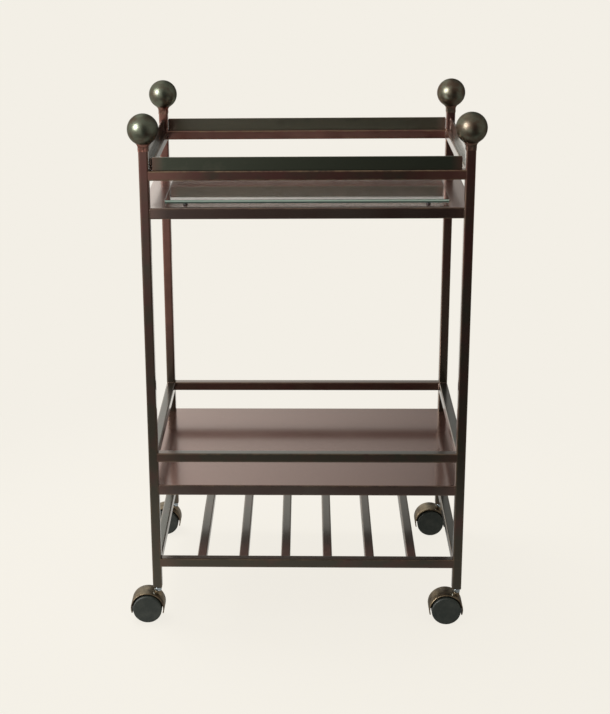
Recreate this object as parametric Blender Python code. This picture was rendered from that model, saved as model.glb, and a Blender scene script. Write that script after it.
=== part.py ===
"""Two-tier bar cart: a square-tube frame with ball finials, a raised gallery round a
glass-topped upper shelf, a sheet-steel lower shelf with a guard rail, a slatted bottle rack
and four hooded twin-wheel casters.

Metres, +Z up, floor at Z = 0, front towards -Y. The origin is the centre of the ground the
cart covers. The casters trail to the left, so the frame sits a little to the right of it.
"""

import math

import bmesh
import bpy
from mathutils import Matrix, Vector

# Frame, outer face to outer face of the corner posts
FRAME_WIDTH = 0.540
FRAME_DEPTH = 0.380

# Square tube of the posts, rails and slats
TUBE = 0.016
TUBE_WALL = 0.0012
TUBE_CORNER = 0.0018
FOOT_ROUNDING = 0.0014
FOOT_PLUG = 0.012

# Heights above the floor, and what stands above each shelf
RACK_BOTTOM = 0.102
LOWER_SHELF_TOP = 0.2575
GUARD_RAIL_ABOVE_SHELF = 0.0425
UPPER_SHELF_TOP = 0.7435
GALLERY_ABOVE_SHELF = 0.0452
POST_ABOVE_BAND = 0.0163

# Flat bar that stands on the gallery rails
BAND_THICKNESS = 0.003
BAND_HEIGHT = 0.0213
BAND_SETBACK = 0.005
BAND_EDGE = 0.0005
FRONT_BAND_END_GAP = 0.0057
REAR_BAND_END_GAP = 0.0012

# Folded sheet shelves
SHEET = 0.0012
SHELF_DEPTH = 0.0178
FOLD_RADIUS = 0.002
NOTCH_GAP = 0.0005

# Bottle rack slats
SLAT_COUNT = 6
SLAT_SIDE_GAP = 0.0627

# Loose glass plate and the bumpers under it
GLASS_THICKNESS = 0.006
GLASS_SIDE_GAP = 0.0225
GLASS_FRONT_GAP = 0.006
GLASS_CORNER = 0.003
GLASS_ARRIS = 0.0006
BUMPER_DIAMETER = 0.008
BUMPER_HEIGHT = 0.0026
BUMPER_TOP_DIAMETER = 0.0062
BUMPER_INSET_SIDE = 0.0335
BUMPER_INSET_FRONT = 0.0045

# Ball finials
BALL_DIAMETER = 0.0508
BALL_WALL = 0.0012
FLARE_START_DIAMETER = 0.027
FLARE_DROP = 0.0028
BALL_PLUG_LENGTH = 0.012
BALL_DRAIN_DIAMETER = 0.005

# Casters
CASTER_HEIGHT = 0.061
CASTER_WIDTH = 0.043
CASTER_TRAIL = 0.018
WHEEL_DIAMETER = 0.0508
WHEEL_RIM = 0.0028
WHEEL_FACE = 0.0025
WHEEL_EDGE_RADIUS = 0.0022
WHEEL_LAND = 0.0027
WHEEL_DISH_DEPTH = 0.0005
WHEEL_HUB_DIAMETER = 0.013
WHEEL_SIDE_GAP = 0.0004
HOOD_OVER_WHEEL = 0.0022
HOOD_WALL = 0.002
HOOD_INSET = 0.004
HOOD_EDGE = 0.0006
HOOD_SKIRT = 0.0085
SPINE_THICKNESS = 0.012
SPINE_HEEL_WIDTH = 0.016
SPINE_HEEL_DROP = 0.0078
BOSS_DIAMETER = 0.0118
BOSS_TOP_DROP = 0.0072
AXLE_DIAMETER = 0.006
AXLE_CLEARANCE = 0.00025
AXLE_END_GAP = 0.0005
STEM_DIAMETER = 0.008
STEM_REACH = 0.038
STEM_TIP_CHAMFER = 0.0015
STEM_RING_DIAMETER = 0.0104
STEM_RING_LENGTH = 0.003
STEM_RING_ABOVE_PLUG = 0.002
STEM_CLEARANCE = 0.0003
STEM_COLLAR_DIAMETER = 0.013
STEM_COLLAR_EDGE = 0.0008
JOURNAL_DIAMETER = 0.0075
JOURNAL_LENGTH = 0.019
CHAMFER = 0.0005

# Fits, and the overrun of a cutter past the face it opens
FIT_GAP = 0.0003
OVERRUN = 0.001
MERGE = 0.000001

# Facets of the round pieces
BALL_SEGMENTS = 24
WHEEL_SEGMENTS = 24
PIN_SEGMENTS = 12
BUMPER_SEGMENTS = 12
HOOD_STEPS = 16
SKIRT_STEPS = 2

# Places worked out from the sizes above
POST_X = (FRAME_WIDTH - TUBE) / 2
POST_Y = (FRAME_DEPTH - TUBE) / 2
INNER_WIDTH = FRAME_WIDTH - 2 * TUBE
INNER_DEPTH = FRAME_DEPTH - 2 * TUBE
GUARD_RAIL_BOTTOM = LOWER_SHELF_TOP + GUARD_RAIL_ABOVE_SHELF
GALLERY_BOTTOM = UPPER_SHELF_TOP + GALLERY_ABOVE_SHELF
BAND_BOTTOM = GALLERY_BOTTOM + TUBE + FIT_GAP
POST_TOP = BAND_BOTTOM + BAND_HEIGHT + POST_ABOVE_BAND
BALL_RADIUS = BALL_DIAMETER / 2
BALL_CENTRE = POST_TOP + FIT_GAP + FLARE_DROP + BALL_RADIUS
BORE = TUBE - 2 * TUBE_WALL
WHEEL_RADIUS = WHEEL_DIAMETER / 2
HOOD_INNER_RADIUS = WHEEL_RADIUS + HOOD_OVER_WHEEL
HOOD_OUTER_RADIUS = HOOD_INNER_RADIUS + HOOD_WALL
HOOD_HALF_WIDTH = CASTER_WIDTH / 2 - HOOD_INSET
AXLE_HEIGHT = WHEEL_RADIUS
FRAME_SHIFT = (CASTER_TRAIL + HOOD_OUTER_RADIUS - BALL_RADIUS) / 2

SIDES = {"left": -1, "right": 1}
ENDS = {"front": -1, "rear": 1}


def clear_scene():
    for old in list(bpy.data.objects):
        bpy.data.objects.remove(old, do_unlink=True)


def make_material(name, colour, roughness, metallic, transmission=0.0):
    finish = bpy.data.materials.new(name)
    finish.use_nodes = True
    finish.diffuse_color = (*colour, 1)
    finish.roughness = roughness
    finish.metallic = metallic
    shader = finish.node_tree.nodes["Principled BSDF"]
    shader.inputs["Base Color"].default_value = (*colour, 1)
    shader.inputs["Roughness"].default_value = roughness
    shader.inputs["Metallic"].default_value = metallic
    shader.inputs["Transmission Weight"].default_value = transmission
    return finish


def mesh_from(bm, name, smooth_under=30):
    bmesh.ops.recalc_face_normals(bm, faces=bm.faces)
    mesh = bpy.data.meshes.new(name)
    bm.to_mesh(mesh)
    bm.free()
    mesh.shade_smooth()
    mesh.set_sharp_from_angle(angle=math.radians(smooth_under))
    return mesh


def place(name, mesh, finish, parent, location=(0, 0, 0), turn=0):
    piece = bpy.data.objects.new(name, mesh)
    bpy.context.scene.collection.objects.link(piece)
    if not mesh.materials:
        mesh.materials.append(finish)
    piece.parent = parent
    piece.location = location
    piece.rotation_euler.z = turn
    return piece


def hollow_out(piece, wall):
    """Turns an open skin into a sheet of this thickness, measured inwards."""
    shell = piece.modifiers.new("sheet", "SOLIDIFY")
    shell.thickness = wall
    shell.offset = -1
    shell.use_even_offset = True


def combined(name, base, steps, smooth_under=30):
    """One mesh from a base mesh and a list of (operation, tool mesh), with the tools removed."""
    helpers = []
    for index, mesh in enumerate([base] + [tool for _, tool in steps]):
        helper = bpy.data.objects.new(f"{name}_helper_{index}", mesh)
        bpy.context.scene.collection.objects.link(helper)
        helpers.append(helper)
    for (operation, _), tool in zip(steps, helpers[1:]):
        cut = helpers[0].modifiers.new(operation.lower(), "BOOLEAN")
        cut.operation = operation
        cut.solver = "EXACT"
        cut.object = tool
    bpy.context.view_layer.update()
    graph = bpy.context.evaluated_depsgraph_get()
    result = bpy.data.meshes.new_from_object(helpers[0].evaluated_get(graph))
    for helper in helpers:
        bpy.data.objects.remove(helper, do_unlink=True)
    result.name = name
    result.shade_smooth()
    result.set_sharp_from_angle(angle=math.radians(smooth_under))
    return result


def block(size, centre=(0, 0, 0)):
    bm = bmesh.new()
    scale = Matrix.Diagonal((*size, 1))
    bmesh.ops.create_cube(bm, size=1, matrix=Matrix.Translation(centre) @ scale)
    return bm


def edges_along(bm, axis):
    """Edges that run along one axis, 0 for X, 1 for Y or 2 for Z."""
    found = []
    for edge in bm.edges:
        run = edge.verts[1].co - edge.verts[0].co
        if abs(run[axis]) > run.length - MERGE:
            found.append(edge)
    return found


def edges_at(bm, axis, place_on_axis):
    """Edges that lie whole at one place along an axis."""
    return [
        edge
        for edge in bm.edges
        if all(abs(v.co[axis] - place_on_axis) < MERGE for v in edge.verts)
    ]


def bevel(bm, edges, width, segments):
    bmesh.ops.bevel(
        bm,
        geom=edges,
        offset=width,
        offset_type="OFFSET",
        segments=segments,
        profile=0.5,
        affect="EDGES",
        material=-1,
    )


def arc(centre, radius, start, end, steps):
    """Points (radius from the axis, height) along an arc, angles in degrees from outwards."""
    points = []
    for step in range(steps + 1):
        angle = math.radians(start + (end - start) * step / steps)
        points.append((centre[0] + radius * math.cos(angle), centre[1] + radius * math.sin(angle)))
    return points


def turned(profile, segments, closed=False, phase=0.0):
    """A solid of revolution about Z from (radius, height) points."""
    bm = bmesh.new()
    spoke = Vector((math.cos(phase), math.sin(phase), 0))
    verts = [bm.verts.new(spoke * radius + Vector((0, 0, height))) for radius, height in profile]
    pairs = list(zip(verts, verts[1:]))
    if closed:
        pairs.append((verts[-1], verts[0]))
    edges = [bm.edges.new(pair) for pair in pairs]
    bmesh.ops.spin(
        bm,
        geom=verts + edges,
        cent=(0, 0, 0),
        axis=(0, 0, 1),
        dvec=(0, 0, 0),
        angle=math.tau,
        steps=segments,
        use_merge=True,
        use_duplicate=False,
    )
    bmesh.ops.remove_doubles(bm, verts=bm.verts, dist=MERGE)
    bmesh.ops.recalc_face_normals(bm, faces=bm.faces)
    return bm


def across_flats(radius, segments):
    """The corner radius of a polygon whose flats are this far from its centre."""
    return radius / math.cos(math.pi / segments)


def tube_mesh(name, length, axis):
    """An open-ended square tube centred on the origin, along X (0) or Y (1)."""
    size = [TUBE, TUBE, TUBE]
    size[axis] = length
    bm = block(size)
    bevel(bm, edges_along(bm, axis), TUBE_CORNER, 2)
    ends = [face for face in bm.faces if abs(face.normal[axis]) > 0.9]
    bmesh.ops.delete(bm, geom=ends, context="FACES_ONLY")
    return mesh_from(bm, name)


def post_mesh():
    """A corner post: a tube closed at its foot by a plug that is bored for the caster stem."""
    height = POST_TOP - CASTER_HEIGHT
    bm = block((TUBE, TUBE, height), (0, 0, CASTER_HEIGHT + height / 2))
    bevel(bm, edges_along(bm, 2), TUBE_CORNER, 2)
    bevel(bm, edges_at(bm, 2, CASTER_HEIGHT), FOOT_ROUNDING, 2)
    bar = mesh_from(bm, "post_bar")
    bore_bottom = CASTER_HEIGHT + FOOT_PLUG
    bore_height = POST_TOP + OVERRUN - bore_bottom
    bore = mesh_from(block((BORE, BORE, bore_height), (0, 0, bore_bottom + bore_height / 2)), "bore")
    hole_radius = STEM_DIAMETER / 2 + STEM_CLEARANCE
    hole = turned(
        [
            (0, CASTER_HEIGHT - OVERRUN),
            (hole_radius, CASTER_HEIGHT - OVERRUN),
            (hole_radius, bore_bottom + OVERRUN),
            (0, bore_bottom + OVERRUN),
        ],
        PIN_SEGMENTS,
    )
    steps = [("DIFFERENCE", bore), ("DIFFERENCE", mesh_from(hole, "stem_hole"))]
    return combined("corner_post", bar, steps)


def squared_off(point, half_side, amount):
    """Moves a point of a round ring towards a square of this half side, by a share of the way."""
    radius = math.hypot(point.x, point.y)
    reach = half_side * radius / max(abs(point.x), abs(point.y))
    target = min(reach, half_side * math.sqrt(2) - TUBE_CORNER * (math.sqrt(2) - 1))
    scale = 1 + (target / radius - 1) * amount
    return Vector((point.x * scale, point.y * scale, point.z))


def finial_mesh():
    """A hollow ball whose underside flares down to the square post, with a plug for its bore."""
    flare_radius = FLARE_START_DIAMETER / 2
    flare_angle = math.degrees(math.acos(flare_radius / BALL_RADIUS))
    flare_top = -math.sqrt(BALL_RADIUS**2 - flare_radius**2)
    flare_bottom = -BALL_RADIUS - FLARE_DROP
    post_half = TUBE / 2
    plug_half = BORE / 2 - FIT_GAP
    plug_bottom = flare_bottom - BALL_PLUG_LENGTH
    drain = BALL_DRAIN_DIAMETER / 2
    inner = BALL_RADIUS - BALL_WALL
    waist_out_share, waist_down_share, waist_square_share = 0.25, 0.67, 0.5
    waist = (
        post_half + (flare_radius - post_half) * waist_out_share,
        flare_top + (flare_bottom - flare_top) * waist_down_share,
    )
    inside_start = -math.degrees(math.acos(drain / inner))
    profile = (
        arc((0, 0), BALL_RADIUS, 90, 0, 6)
        + arc((0, 0), BALL_RADIUS, 0, -flare_angle, 4)[1:]
        + [waist, (post_half, flare_bottom), (plug_half, flare_bottom), (plug_half, plug_bottom)]
        + [(drain, plug_bottom)]
        + arc((0, 0), inner, inside_start, 90, 4)
    )
    profile[0] = (0, BALL_RADIUS)
    profile[-1] = (0, inner)
    bm = turned(profile, BALL_SEGMENTS, phase=math.pi / 4)
    for vert in bm.verts:
        radius = math.hypot(vert.co.x, vert.co.y)
        height = vert.co.z
        if height < flare_bottom + MERGE and radius > drain + MERGE:
            half_side = plug_half if radius < plug_half + MERGE else post_half
            vert.co = squared_off(vert.co, half_side, 1)
        elif flare_bottom < height < flare_top - MERGE and radius > post_half:
            if radius < flare_radius - MERGE:
                vert.co = squared_off(vert.co, post_half, waist_square_share)
    return mesh_from(bm, "finial_ball")


def band_mesh(name, length, axis):
    """The gallery's flat bar, centred on the origin in plan, with its long edges eased."""
    size = [BAND_THICKNESS, BAND_THICKNESS, BAND_HEIGHT]
    size[axis] = length
    bm = block(size, (0, 0, BAND_HEIGHT / 2))
    bevel(bm, edges_along(bm, axis), BAND_EDGE, 1)
    return mesh_from(bm, name)


def shelf_mesh():
    """A folded tray: one sheet, its four edges turned down, its corners notched for the posts."""
    half_x, half_y = FRAME_WIDTH / 2, FRAME_DEPTH / 2
    notch_x = INNER_WIDTH / 2 - NOTCH_GAP
    notch_y = INNER_DEPTH / 2 - NOTCH_GAP
    bm = bmesh.new()
    outline = []
    for x_sign, y_sign in ((1, 1), (-1, 1), (-1, -1), (1, -1)):
        corner = [(half_x, notch_y), (notch_x, notch_y), (notch_x, half_y)]
        if x_sign != y_sign:
            corner.reverse()
        outline += [bm.verts.new((x_sign * x, y_sign * y, 0)) for x, y in corner]
    bm.faces.new(outline)
    folds = [
        edge
        for edge in bm.edges
        if all(abs(v.co.x) > half_x - MERGE for v in edge.verts)
        or all(abs(v.co.y) > half_y - MERGE for v in edge.verts)
    ]
    skirt = bmesh.ops.extrude_edge_only(bm, edges=folds)["geom"]
    hem = [item for item in skirt if isinstance(item, bmesh.types.BMVert)]
    bmesh.ops.translate(bm, verts=hem, vec=(0, 0, -SHELF_DEPTH))
    bevel(bm, folds, FOLD_RADIUS, 3)
    bmesh.ops.recalc_face_normals(bm, faces=bm.faces)
    top = max(bm.faces, key=lambda face: face.calc_area())
    if top.normal.z < 0:
        bmesh.ops.reverse_faces(bm, faces=bm.faces)
    mesh = bpy.data.meshes.new("folded_shelf")
    bm.to_mesh(mesh)
    bm.free()
    mesh.shade_smooth()
    mesh.set_sharp_from_angle(angle=math.radians(40))
    return mesh


def glass_mesh():
    size = (
        INNER_WIDTH - 2 * GLASS_SIDE_GAP,
        INNER_DEPTH - 2 * GLASS_FRONT_GAP,
        GLASS_THICKNESS,
    )
    bm = block(size)
    bevel(bm, edges_along(bm, 2), GLASS_CORNER, 3)
    rims = edges_at(bm, 2, GLASS_THICKNESS / 2) + edges_at(bm, 2, -GLASS_THICKNESS / 2)
    bevel(bm, rims, GLASS_ARRIS, 1)
    return mesh_from(bm, "glass_plate")


def bumper_mesh():
    foot, crown = BUMPER_DIAMETER / 2, BUMPER_TOP_DIAMETER / 2
    shoulder = BUMPER_HEIGHT * 2 / 3
    profile = [(0, 0), (foot, 0), (foot, BUMPER_HEIGHT / 3), ((foot + crown) / 2, shoulder)]
    profile += [(crown, BUMPER_HEIGHT), (0, BUMPER_HEIGHT)]
    return mesh_from(turned(profile, BUMPER_SEGMENTS), "bumper")


def wheel_mesh():
    """One wheel of a pair: closed face outwards (+Y), rim and hub open to the inner side."""
    inner_face = SPINE_THICKNESS / 2 + WHEEL_SIDE_GAP
    outer_face = CASTER_WIDTH / 2
    tread = across_flats(WHEEL_RADIUS, WHEEL_SEGMENTS)
    dish = tread - WHEEL_EDGE_RADIUS - WHEEL_LAND - WHEEL_DISH_DEPTH
    dish_floor = outer_face - WHEEL_DISH_DEPTH
    face_back = outer_face - WHEEL_FACE
    hub = WHEEL_HUB_DIAMETER / 2
    bore = AXLE_DIAMETER / 2 + AXLE_CLEARANCE
    rounding = (tread - WHEEL_EDGE_RADIUS, outer_face - WHEEL_EDGE_RADIUS)
    rim_inside = WHEEL_RADIUS - WHEEL_RIM
    profile = (
        [(0, dish_floor), (dish, dish_floor), (dish + WHEEL_DISH_DEPTH, outer_face)]
        + arc(rounding, WHEEL_EDGE_RADIUS, 90, 0, 2)
        + [(tread, inner_face), (rim_inside, inner_face)]
        + [(rim_inside, face_back), (hub, face_back), (hub, inner_face), (bore, inner_face)]
        + [(bore, face_back), (0, face_back)]
    )
    bm = turned(profile, WHEEL_SEGMENTS, phase=math.pi / WHEEL_SEGMENTS)
    bmesh.ops.rotate(bm, verts=bm.verts, cent=(0, 0, 0), matrix=Matrix.Rotation(-math.pi / 2, 3, "X"))
    return mesh_from(bm, "caster_wheel")


def axle_mesh():
    half = CASTER_WIDTH / 2 - WHEEL_FACE - AXLE_END_GAP
    radius = AXLE_DIAMETER / 2
    profile = [(0, half), (radius - CHAMFER, half), (radius, half - CHAMFER)]
    profile += [(r, -z) for r, z in reversed(profile)]
    bm = turned(profile, PIN_SEGMENTS)
    bmesh.ops.rotate(bm, verts=bm.verts, cent=(0, 0, 0), matrix=Matrix.Rotation(math.pi / 2, 3, "X"))
    return mesh_from(bm, "caster_axle")


def stem_mesh():
    """The swivel stem, fixed in the post: shank and grip ring above, collar, journal below."""
    shank, ring = STEM_DIAMETER / 2, STEM_RING_DIAMETER / 2
    collar, journal = STEM_COLLAR_DIAMETER / 2, JOURNAL_DIAMETER / 2
    collar_top = CASTER_HEIGHT - FIT_GAP
    collar_bottom = CASTER_HEIGHT - BOSS_TOP_DROP + FIT_GAP
    tip = CASTER_HEIGHT + STEM_REACH
    ring_bottom = CASTER_HEIGHT + FOOT_PLUG + STEM_RING_ABOVE_PLUG
    ring_top = ring_bottom + STEM_RING_LENGTH
    journal_end = collar_bottom - JOURNAL_LENGTH
    profile = [
        (0, tip),
        (shank - STEM_TIP_CHAMFER, tip),
        (shank, tip - STEM_TIP_CHAMFER),
        (shank, ring_top),
        (ring, ring_top - STEM_RING_LENGTH / 3),
        (ring, ring_bottom + STEM_RING_LENGTH / 3),
        (shank, ring_bottom),
        (shank, collar_top),
        (collar - STEM_COLLAR_EDGE, collar_top),
        (collar, collar_top - STEM_COLLAR_EDGE),
        (collar, collar_bottom + STEM_COLLAR_EDGE),
        (collar - STEM_COLLAR_EDGE, collar_bottom),
        (journal, collar_bottom),
        (journal, journal_end + CHAMFER),
        (journal - CHAMFER, journal_end),
        (0, journal_end),
    ]
    return mesh_from(turned(profile, PIN_SEGMENTS), "caster_stem")


def prism(outline, half_thickness):
    """A plate from (x, z) points, this far each way along Y."""
    bm = bmesh.new()
    face = bm.faces.new([bm.verts.new((x, -half_thickness, z)) for x, z in outline])
    grown = bmesh.ops.extrude_face_region(bm, geom=[face])["geom"]
    moved = [item for item in grown if isinstance(item, bmesh.types.BMVert)]
    bmesh.ops.translate(bm, verts=moved, vec=(0, 2 * half_thickness, 0))
    bmesh.ops.recalc_face_normals(bm, faces=bm.faces)
    return bm


def arch():
    """The hood's curved sheet, swept round the axle from one skirt tip over to the other."""
    wall = [
        (HOOD_INNER_RADIUS, -HOOD_HALF_WIDTH),
        (HOOD_OUTER_RADIUS - HOOD_EDGE, -HOOD_HALF_WIDTH),
        (HOOD_OUTER_RADIUS, HOOD_EDGE - HOOD_HALF_WIDTH),
        (HOOD_OUTER_RADIUS, HOOD_HALF_WIDTH - HOOD_EDGE),
        (HOOD_OUTER_RADIUS - HOOD_EDGE, HOOD_HALF_WIDTH),
        (HOOD_INNER_RADIUS, HOOD_HALF_WIDTH),
    ]
    skirt_angle = math.asin(HOOD_SKIRT / HOOD_OUTER_RADIUS)
    turns = [skirt_angle / SKIRT_STEPS] * SKIRT_STEPS
    turns += [math.pi / HOOD_STEPS] * HOOD_STEPS + turns
    bm = bmesh.new()
    section = [bm.verts.new((radius, y, 0)) for radius, y in wall]
    edges = [bm.edges.new(pair) for pair in zip(section, section[1:] + section[:1])]
    start = Matrix.Rotation(skirt_angle, 3, "Y")
    bmesh.ops.rotate(bm, verts=section, cent=(0, 0, 0), matrix=start)
    for turn in turns:
        grown = bmesh.ops.extrude_edge_only(bm, edges=edges)["geom"]
        moved = [item for item in grown if isinstance(item, bmesh.types.BMVert)]
        edges = [item for item in grown if isinstance(item, bmesh.types.BMEdge)]
        bmesh.ops.rotate(bm, verts=moved, cent=(0, 0, 0), matrix=Matrix.Rotation(-turn, 3, "Y"))
    tips = [edge for edge in bm.edges if edge.is_boundary]
    bmesh.ops.holes_fill(bm, edges=tips, sides=0)
    bmesh.ops.recalc_face_normals(bm, faces=bm.faces)
    return bm


def hood_mesh():
    """The caster body: arched hood, the spine between the wheels and the swivel boss.

    Its origin is on the swivel axis, level with the axle, which trails to the left of it.
    """
    axle = Matrix.Translation((-CASTER_TRAIL, 0, 0))
    shell = arch()
    shell.transform(axle)
    mid_wall = HOOD_INNER_RADIUS + HOOD_WALL / 2
    heel = SPINE_HEEL_WIDTH / 2
    outline = arc((0, 0), mid_wall, 0, 180, HOOD_STEPS)
    outline += [(-heel, -SPINE_HEEL_DROP), (heel, -SPINE_HEEL_DROP)]
    spine = prism(outline, SPINE_THICKNESS / 2)
    spine.transform(axle)
    boss_top = CASTER_HEIGHT - BOSS_TOP_DROP - AXLE_HEIGHT
    boss_radius = BOSS_DIAMETER / 2
    boss = turned(
        [(0, 0), (boss_radius, 0), (boss_radius, boss_top - CHAMFER)]
        + [(boss_radius - CHAMFER, boss_top), (0, boss_top)],
        PIN_SEGMENTS,
    )
    well_radius = JOURNAL_DIAMETER / 2 + STEM_CLEARANCE
    well_bottom = boss_top + FIT_GAP - JOURNAL_LENGTH - OVERRUN
    well = turned(
        [
            (0, well_bottom),
            (well_radius, well_bottom),
            (well_radius, boss_top + OVERRUN),
            (0, boss_top + OVERRUN),
        ],
        PIN_SEGMENTS,
    )
    pin_radius = AXLE_DIAMETER / 2 + AXLE_CLEARANCE
    pin_half = SPINE_THICKNESS / 2 + OVERRUN
    pin = turned(
        [(0, -pin_half), (pin_radius, -pin_half), (pin_radius, pin_half), (0, pin_half)],
        PIN_SEGMENTS,
    )
    pin.transform(axle @ Matrix.Rotation(math.pi / 2, 4, "X"))
    steps = [
        ("UNION", mesh_from(spine, "spine")),
        ("UNION", mesh_from(boss, "boss")),
        ("DIFFERENCE", mesh_from(well, "stem_well")),
        ("DIFFERENCE", mesh_from(pin, "axle_hole")),
    ]
    return combined("caster_hood", mesh_from(shell, "arch"), steps)


def build_frame(cart, bronze, ball_bronze):
    post = post_mesh()
    ball = finial_mesh()
    for end, y_sign in ENDS.items():
        for side, x_sign in SIDES.items():
            corner = (x_sign * POST_X, y_sign * POST_Y)
            place(f"post_{end}_{side}", post, bronze, cart, (*corner, 0))
            place(f"finial_ball_{end}_{side}", ball, ball_bronze, cart, (*corner, BALL_CENTRE))


def build_rings(cart, bronze):
    """The three rings of tube: gallery, guard rail and bottle rack."""
    cross = tube_mesh("cross_tube", INNER_WIDTH - 2 * FIT_GAP, 0)
    along = tube_mesh("side_tube", INNER_DEPTH - 2 * FIT_GAP, 1)
    rings = {
        "gallery_rail": GALLERY_BOTTOM,
        "guard_rail": GUARD_RAIL_BOTTOM,
        "rack_rail": RACK_BOTTOM,
    }
    for ring, bottom in rings.items():
        height = bottom + TUBE / 2
        for end, sign in ENDS.items():
            spot = (0, sign * POST_Y, height)
            hollow_out(place(f"{ring}_{end}", cross, bronze, cart, spot), TUBE_WALL)
        for side, sign in SIDES.items():
            spot = (sign * POST_X, 0, height)
            hollow_out(place(f"{ring}_{side}", along, bronze, cart, spot), TUBE_WALL)


def build_slats(cart, bronze):
    slat = tube_mesh("slat_tube", INNER_DEPTH - 2 * FIT_GAP, 1)
    first = -INNER_WIDTH / 2 + SLAT_SIDE_GAP + TUBE / 2
    pitch = -2 * first / (SLAT_COUNT - 1)
    for index in range(SLAT_COUNT):
        spot = (first + index * pitch, 0, RACK_BOTTOM + TUBE / 2)
        hollow_out(place(f"rack_slat_{index + 1}", slat, bronze, cart, spot), TUBE_WALL)


def build_bands(cart, bronze):
    end_gaps = {"front": FRONT_BAND_END_GAP, "rear": REAR_BAND_END_GAP}
    from_centre_y = FRAME_DEPTH / 2 - BAND_SETBACK - BAND_THICKNESS / 2
    from_centre_x = FRAME_WIDTH / 2 - BAND_SETBACK - BAND_THICKNESS / 2
    for end, sign in ENDS.items():
        band = band_mesh(f"{end}_band", INNER_WIDTH - 2 * end_gaps[end], 0)
        place(f"gallery_band_{end}", band, bronze, cart, (0, sign * from_centre_y, BAND_BOTTOM))
    side_band = band_mesh("side_band", INNER_DEPTH - 2 * FIT_GAP, 1)
    for side, sign in SIDES.items():
        spot = (sign * from_centre_x, 0, BAND_BOTTOM)
        place(f"gallery_band_{side}", side_band, bronze, cart, spot)


def build_shelves(cart, sheet_bronze):
    shelf = shelf_mesh()
    for tier, top in {"upper": UPPER_SHELF_TOP, "lower": LOWER_SHELF_TOP}.items():
        hollow_out(place(f"{tier}_shelf", shelf, sheet_bronze, cart, (0, 0, top)), SHEET)


def build_glass(cart, glass, rubber):
    bumper_bottom = UPPER_SHELF_TOP + FIT_GAP
    glass_bottom = bumper_bottom + BUMPER_HEIGHT + FIT_GAP
    place("glass_plate", glass_mesh(), glass, cart, (0, 0, glass_bottom + GLASS_THICKNESS / 2))
    bumper = bumper_mesh()
    bumper_x = INNER_WIDTH / 2 - GLASS_SIDE_GAP - BUMPER_INSET_SIDE
    bumper_y = INNER_DEPTH / 2 - GLASS_FRONT_GAP - BUMPER_INSET_FRONT
    for end, y_sign in ENDS.items():
        for side, x_sign in SIDES.items():
            spot = (x_sign * bumper_x, y_sign * bumper_y, bumper_bottom)
            place(f"bumper_{end}_{side}", bumper, rubber, cart, spot)


def build_casters(cart, hood_bronze, nylon, zinc, steel):
    hood = hood_mesh()
    stem = stem_mesh()
    axle = axle_mesh()
    wheel = wheel_mesh()
    for end, y_sign in ENDS.items():
        for side, x_sign in SIDES.items():
            where = f"{end}_{side}"
            swivel = (x_sign * POST_X, y_sign * POST_Y)
            place(f"caster_stem_{where}", stem, zinc, cart, (*swivel, 0))
            body = place(f"caster_hood_{where}", hood, hood_bronze, cart, (*swivel, AXLE_HEIGHT))
            centre = (-CASTER_TRAIL, 0, 0)
            place(f"caster_axle_{where}", axle, steel, body, centre)
            place(f"wheel_{where}_front", wheel, nylon, body, centre, math.pi)
            place(f"wheel_{where}_rear", wheel, nylon, body, centre)


def main():
    clear_scene()
    cart = bpy.data.objects.new("cart", None)
    bpy.context.scene.collection.objects.link(cart)
    cart.location = (FRAME_SHIFT, 0, 0)
    bronze = make_material("aged_bronze_tube", (0.055, 0.036, 0.029), 0.28, 0.85)
    ball_bronze = make_material("aged_bronze_ball", (0.075, 0.072, 0.058), 0.25, 0.9)
    sheet_bronze = make_material("aged_bronze_sheet", (0.085, 0.058, 0.045), 0.3, 0.85)
    hood_bronze = make_material("bronze_caster_hood", (0.14, 0.115, 0.085), 0.35, 0.85)
    nylon = make_material("dark_nylon_wheel", (0.035, 0.042, 0.036), 0.45, 0.0)
    zinc = make_material("zinc_plated_stem", (0.55, 0.6, 0.64), 0.25, 1.0)
    steel = make_material("steel_axle", (0.4, 0.4, 0.4), 0.35, 1.0)
    glass = make_material("clear_glass", (0.75, 0.9, 0.87), 0.03, 0.0, 1.0)
    rubber = make_material("black_rubber_bumper", (0.02, 0.02, 0.02), 0.6, 0.0)
    build_frame(cart, bronze, ball_bronze)
    build_rings(cart, bronze)
    build_slats(cart, bronze)
    build_bands(cart, bronze)
    build_shelves(cart, sheet_bronze)
    build_glass(cart, glass, rubber)
    build_casters(cart, hood_bronze, nylon, zinc, steel)


main()
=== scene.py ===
"""Looks of a two-tier bar cart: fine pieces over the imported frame, their finishes, floor, light
and camera. Metres, +Z up, front towards -Y, in the frame's own place."""

import math

import bmesh
import bpy
from bpy.props import FloatProperty, FloatVectorProperty, IntProperty, PointerProperty
from bpy.types import NodeSocket, Operator, Panel, PropertyGroup
from mathutils import Matrix, Vector, noise


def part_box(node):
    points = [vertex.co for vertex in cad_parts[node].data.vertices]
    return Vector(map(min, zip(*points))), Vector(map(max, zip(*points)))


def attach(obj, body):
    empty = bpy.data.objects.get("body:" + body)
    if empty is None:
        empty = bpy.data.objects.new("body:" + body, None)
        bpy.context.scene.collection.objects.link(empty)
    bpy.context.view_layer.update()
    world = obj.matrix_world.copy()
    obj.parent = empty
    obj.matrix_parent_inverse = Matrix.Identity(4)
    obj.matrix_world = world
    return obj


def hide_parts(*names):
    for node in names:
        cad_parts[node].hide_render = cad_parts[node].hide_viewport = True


bl_info = {
    "name": "Bar cart finishes",
    "version": (1, 0, 0),
    "blender": (4, 5, 0),
    "location": "View3D > Sidebar > Bar cart",
    "description": "Fine pieces, finishes, floor, light and camera of a bar cart",
    "category": "Object",
}

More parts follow.
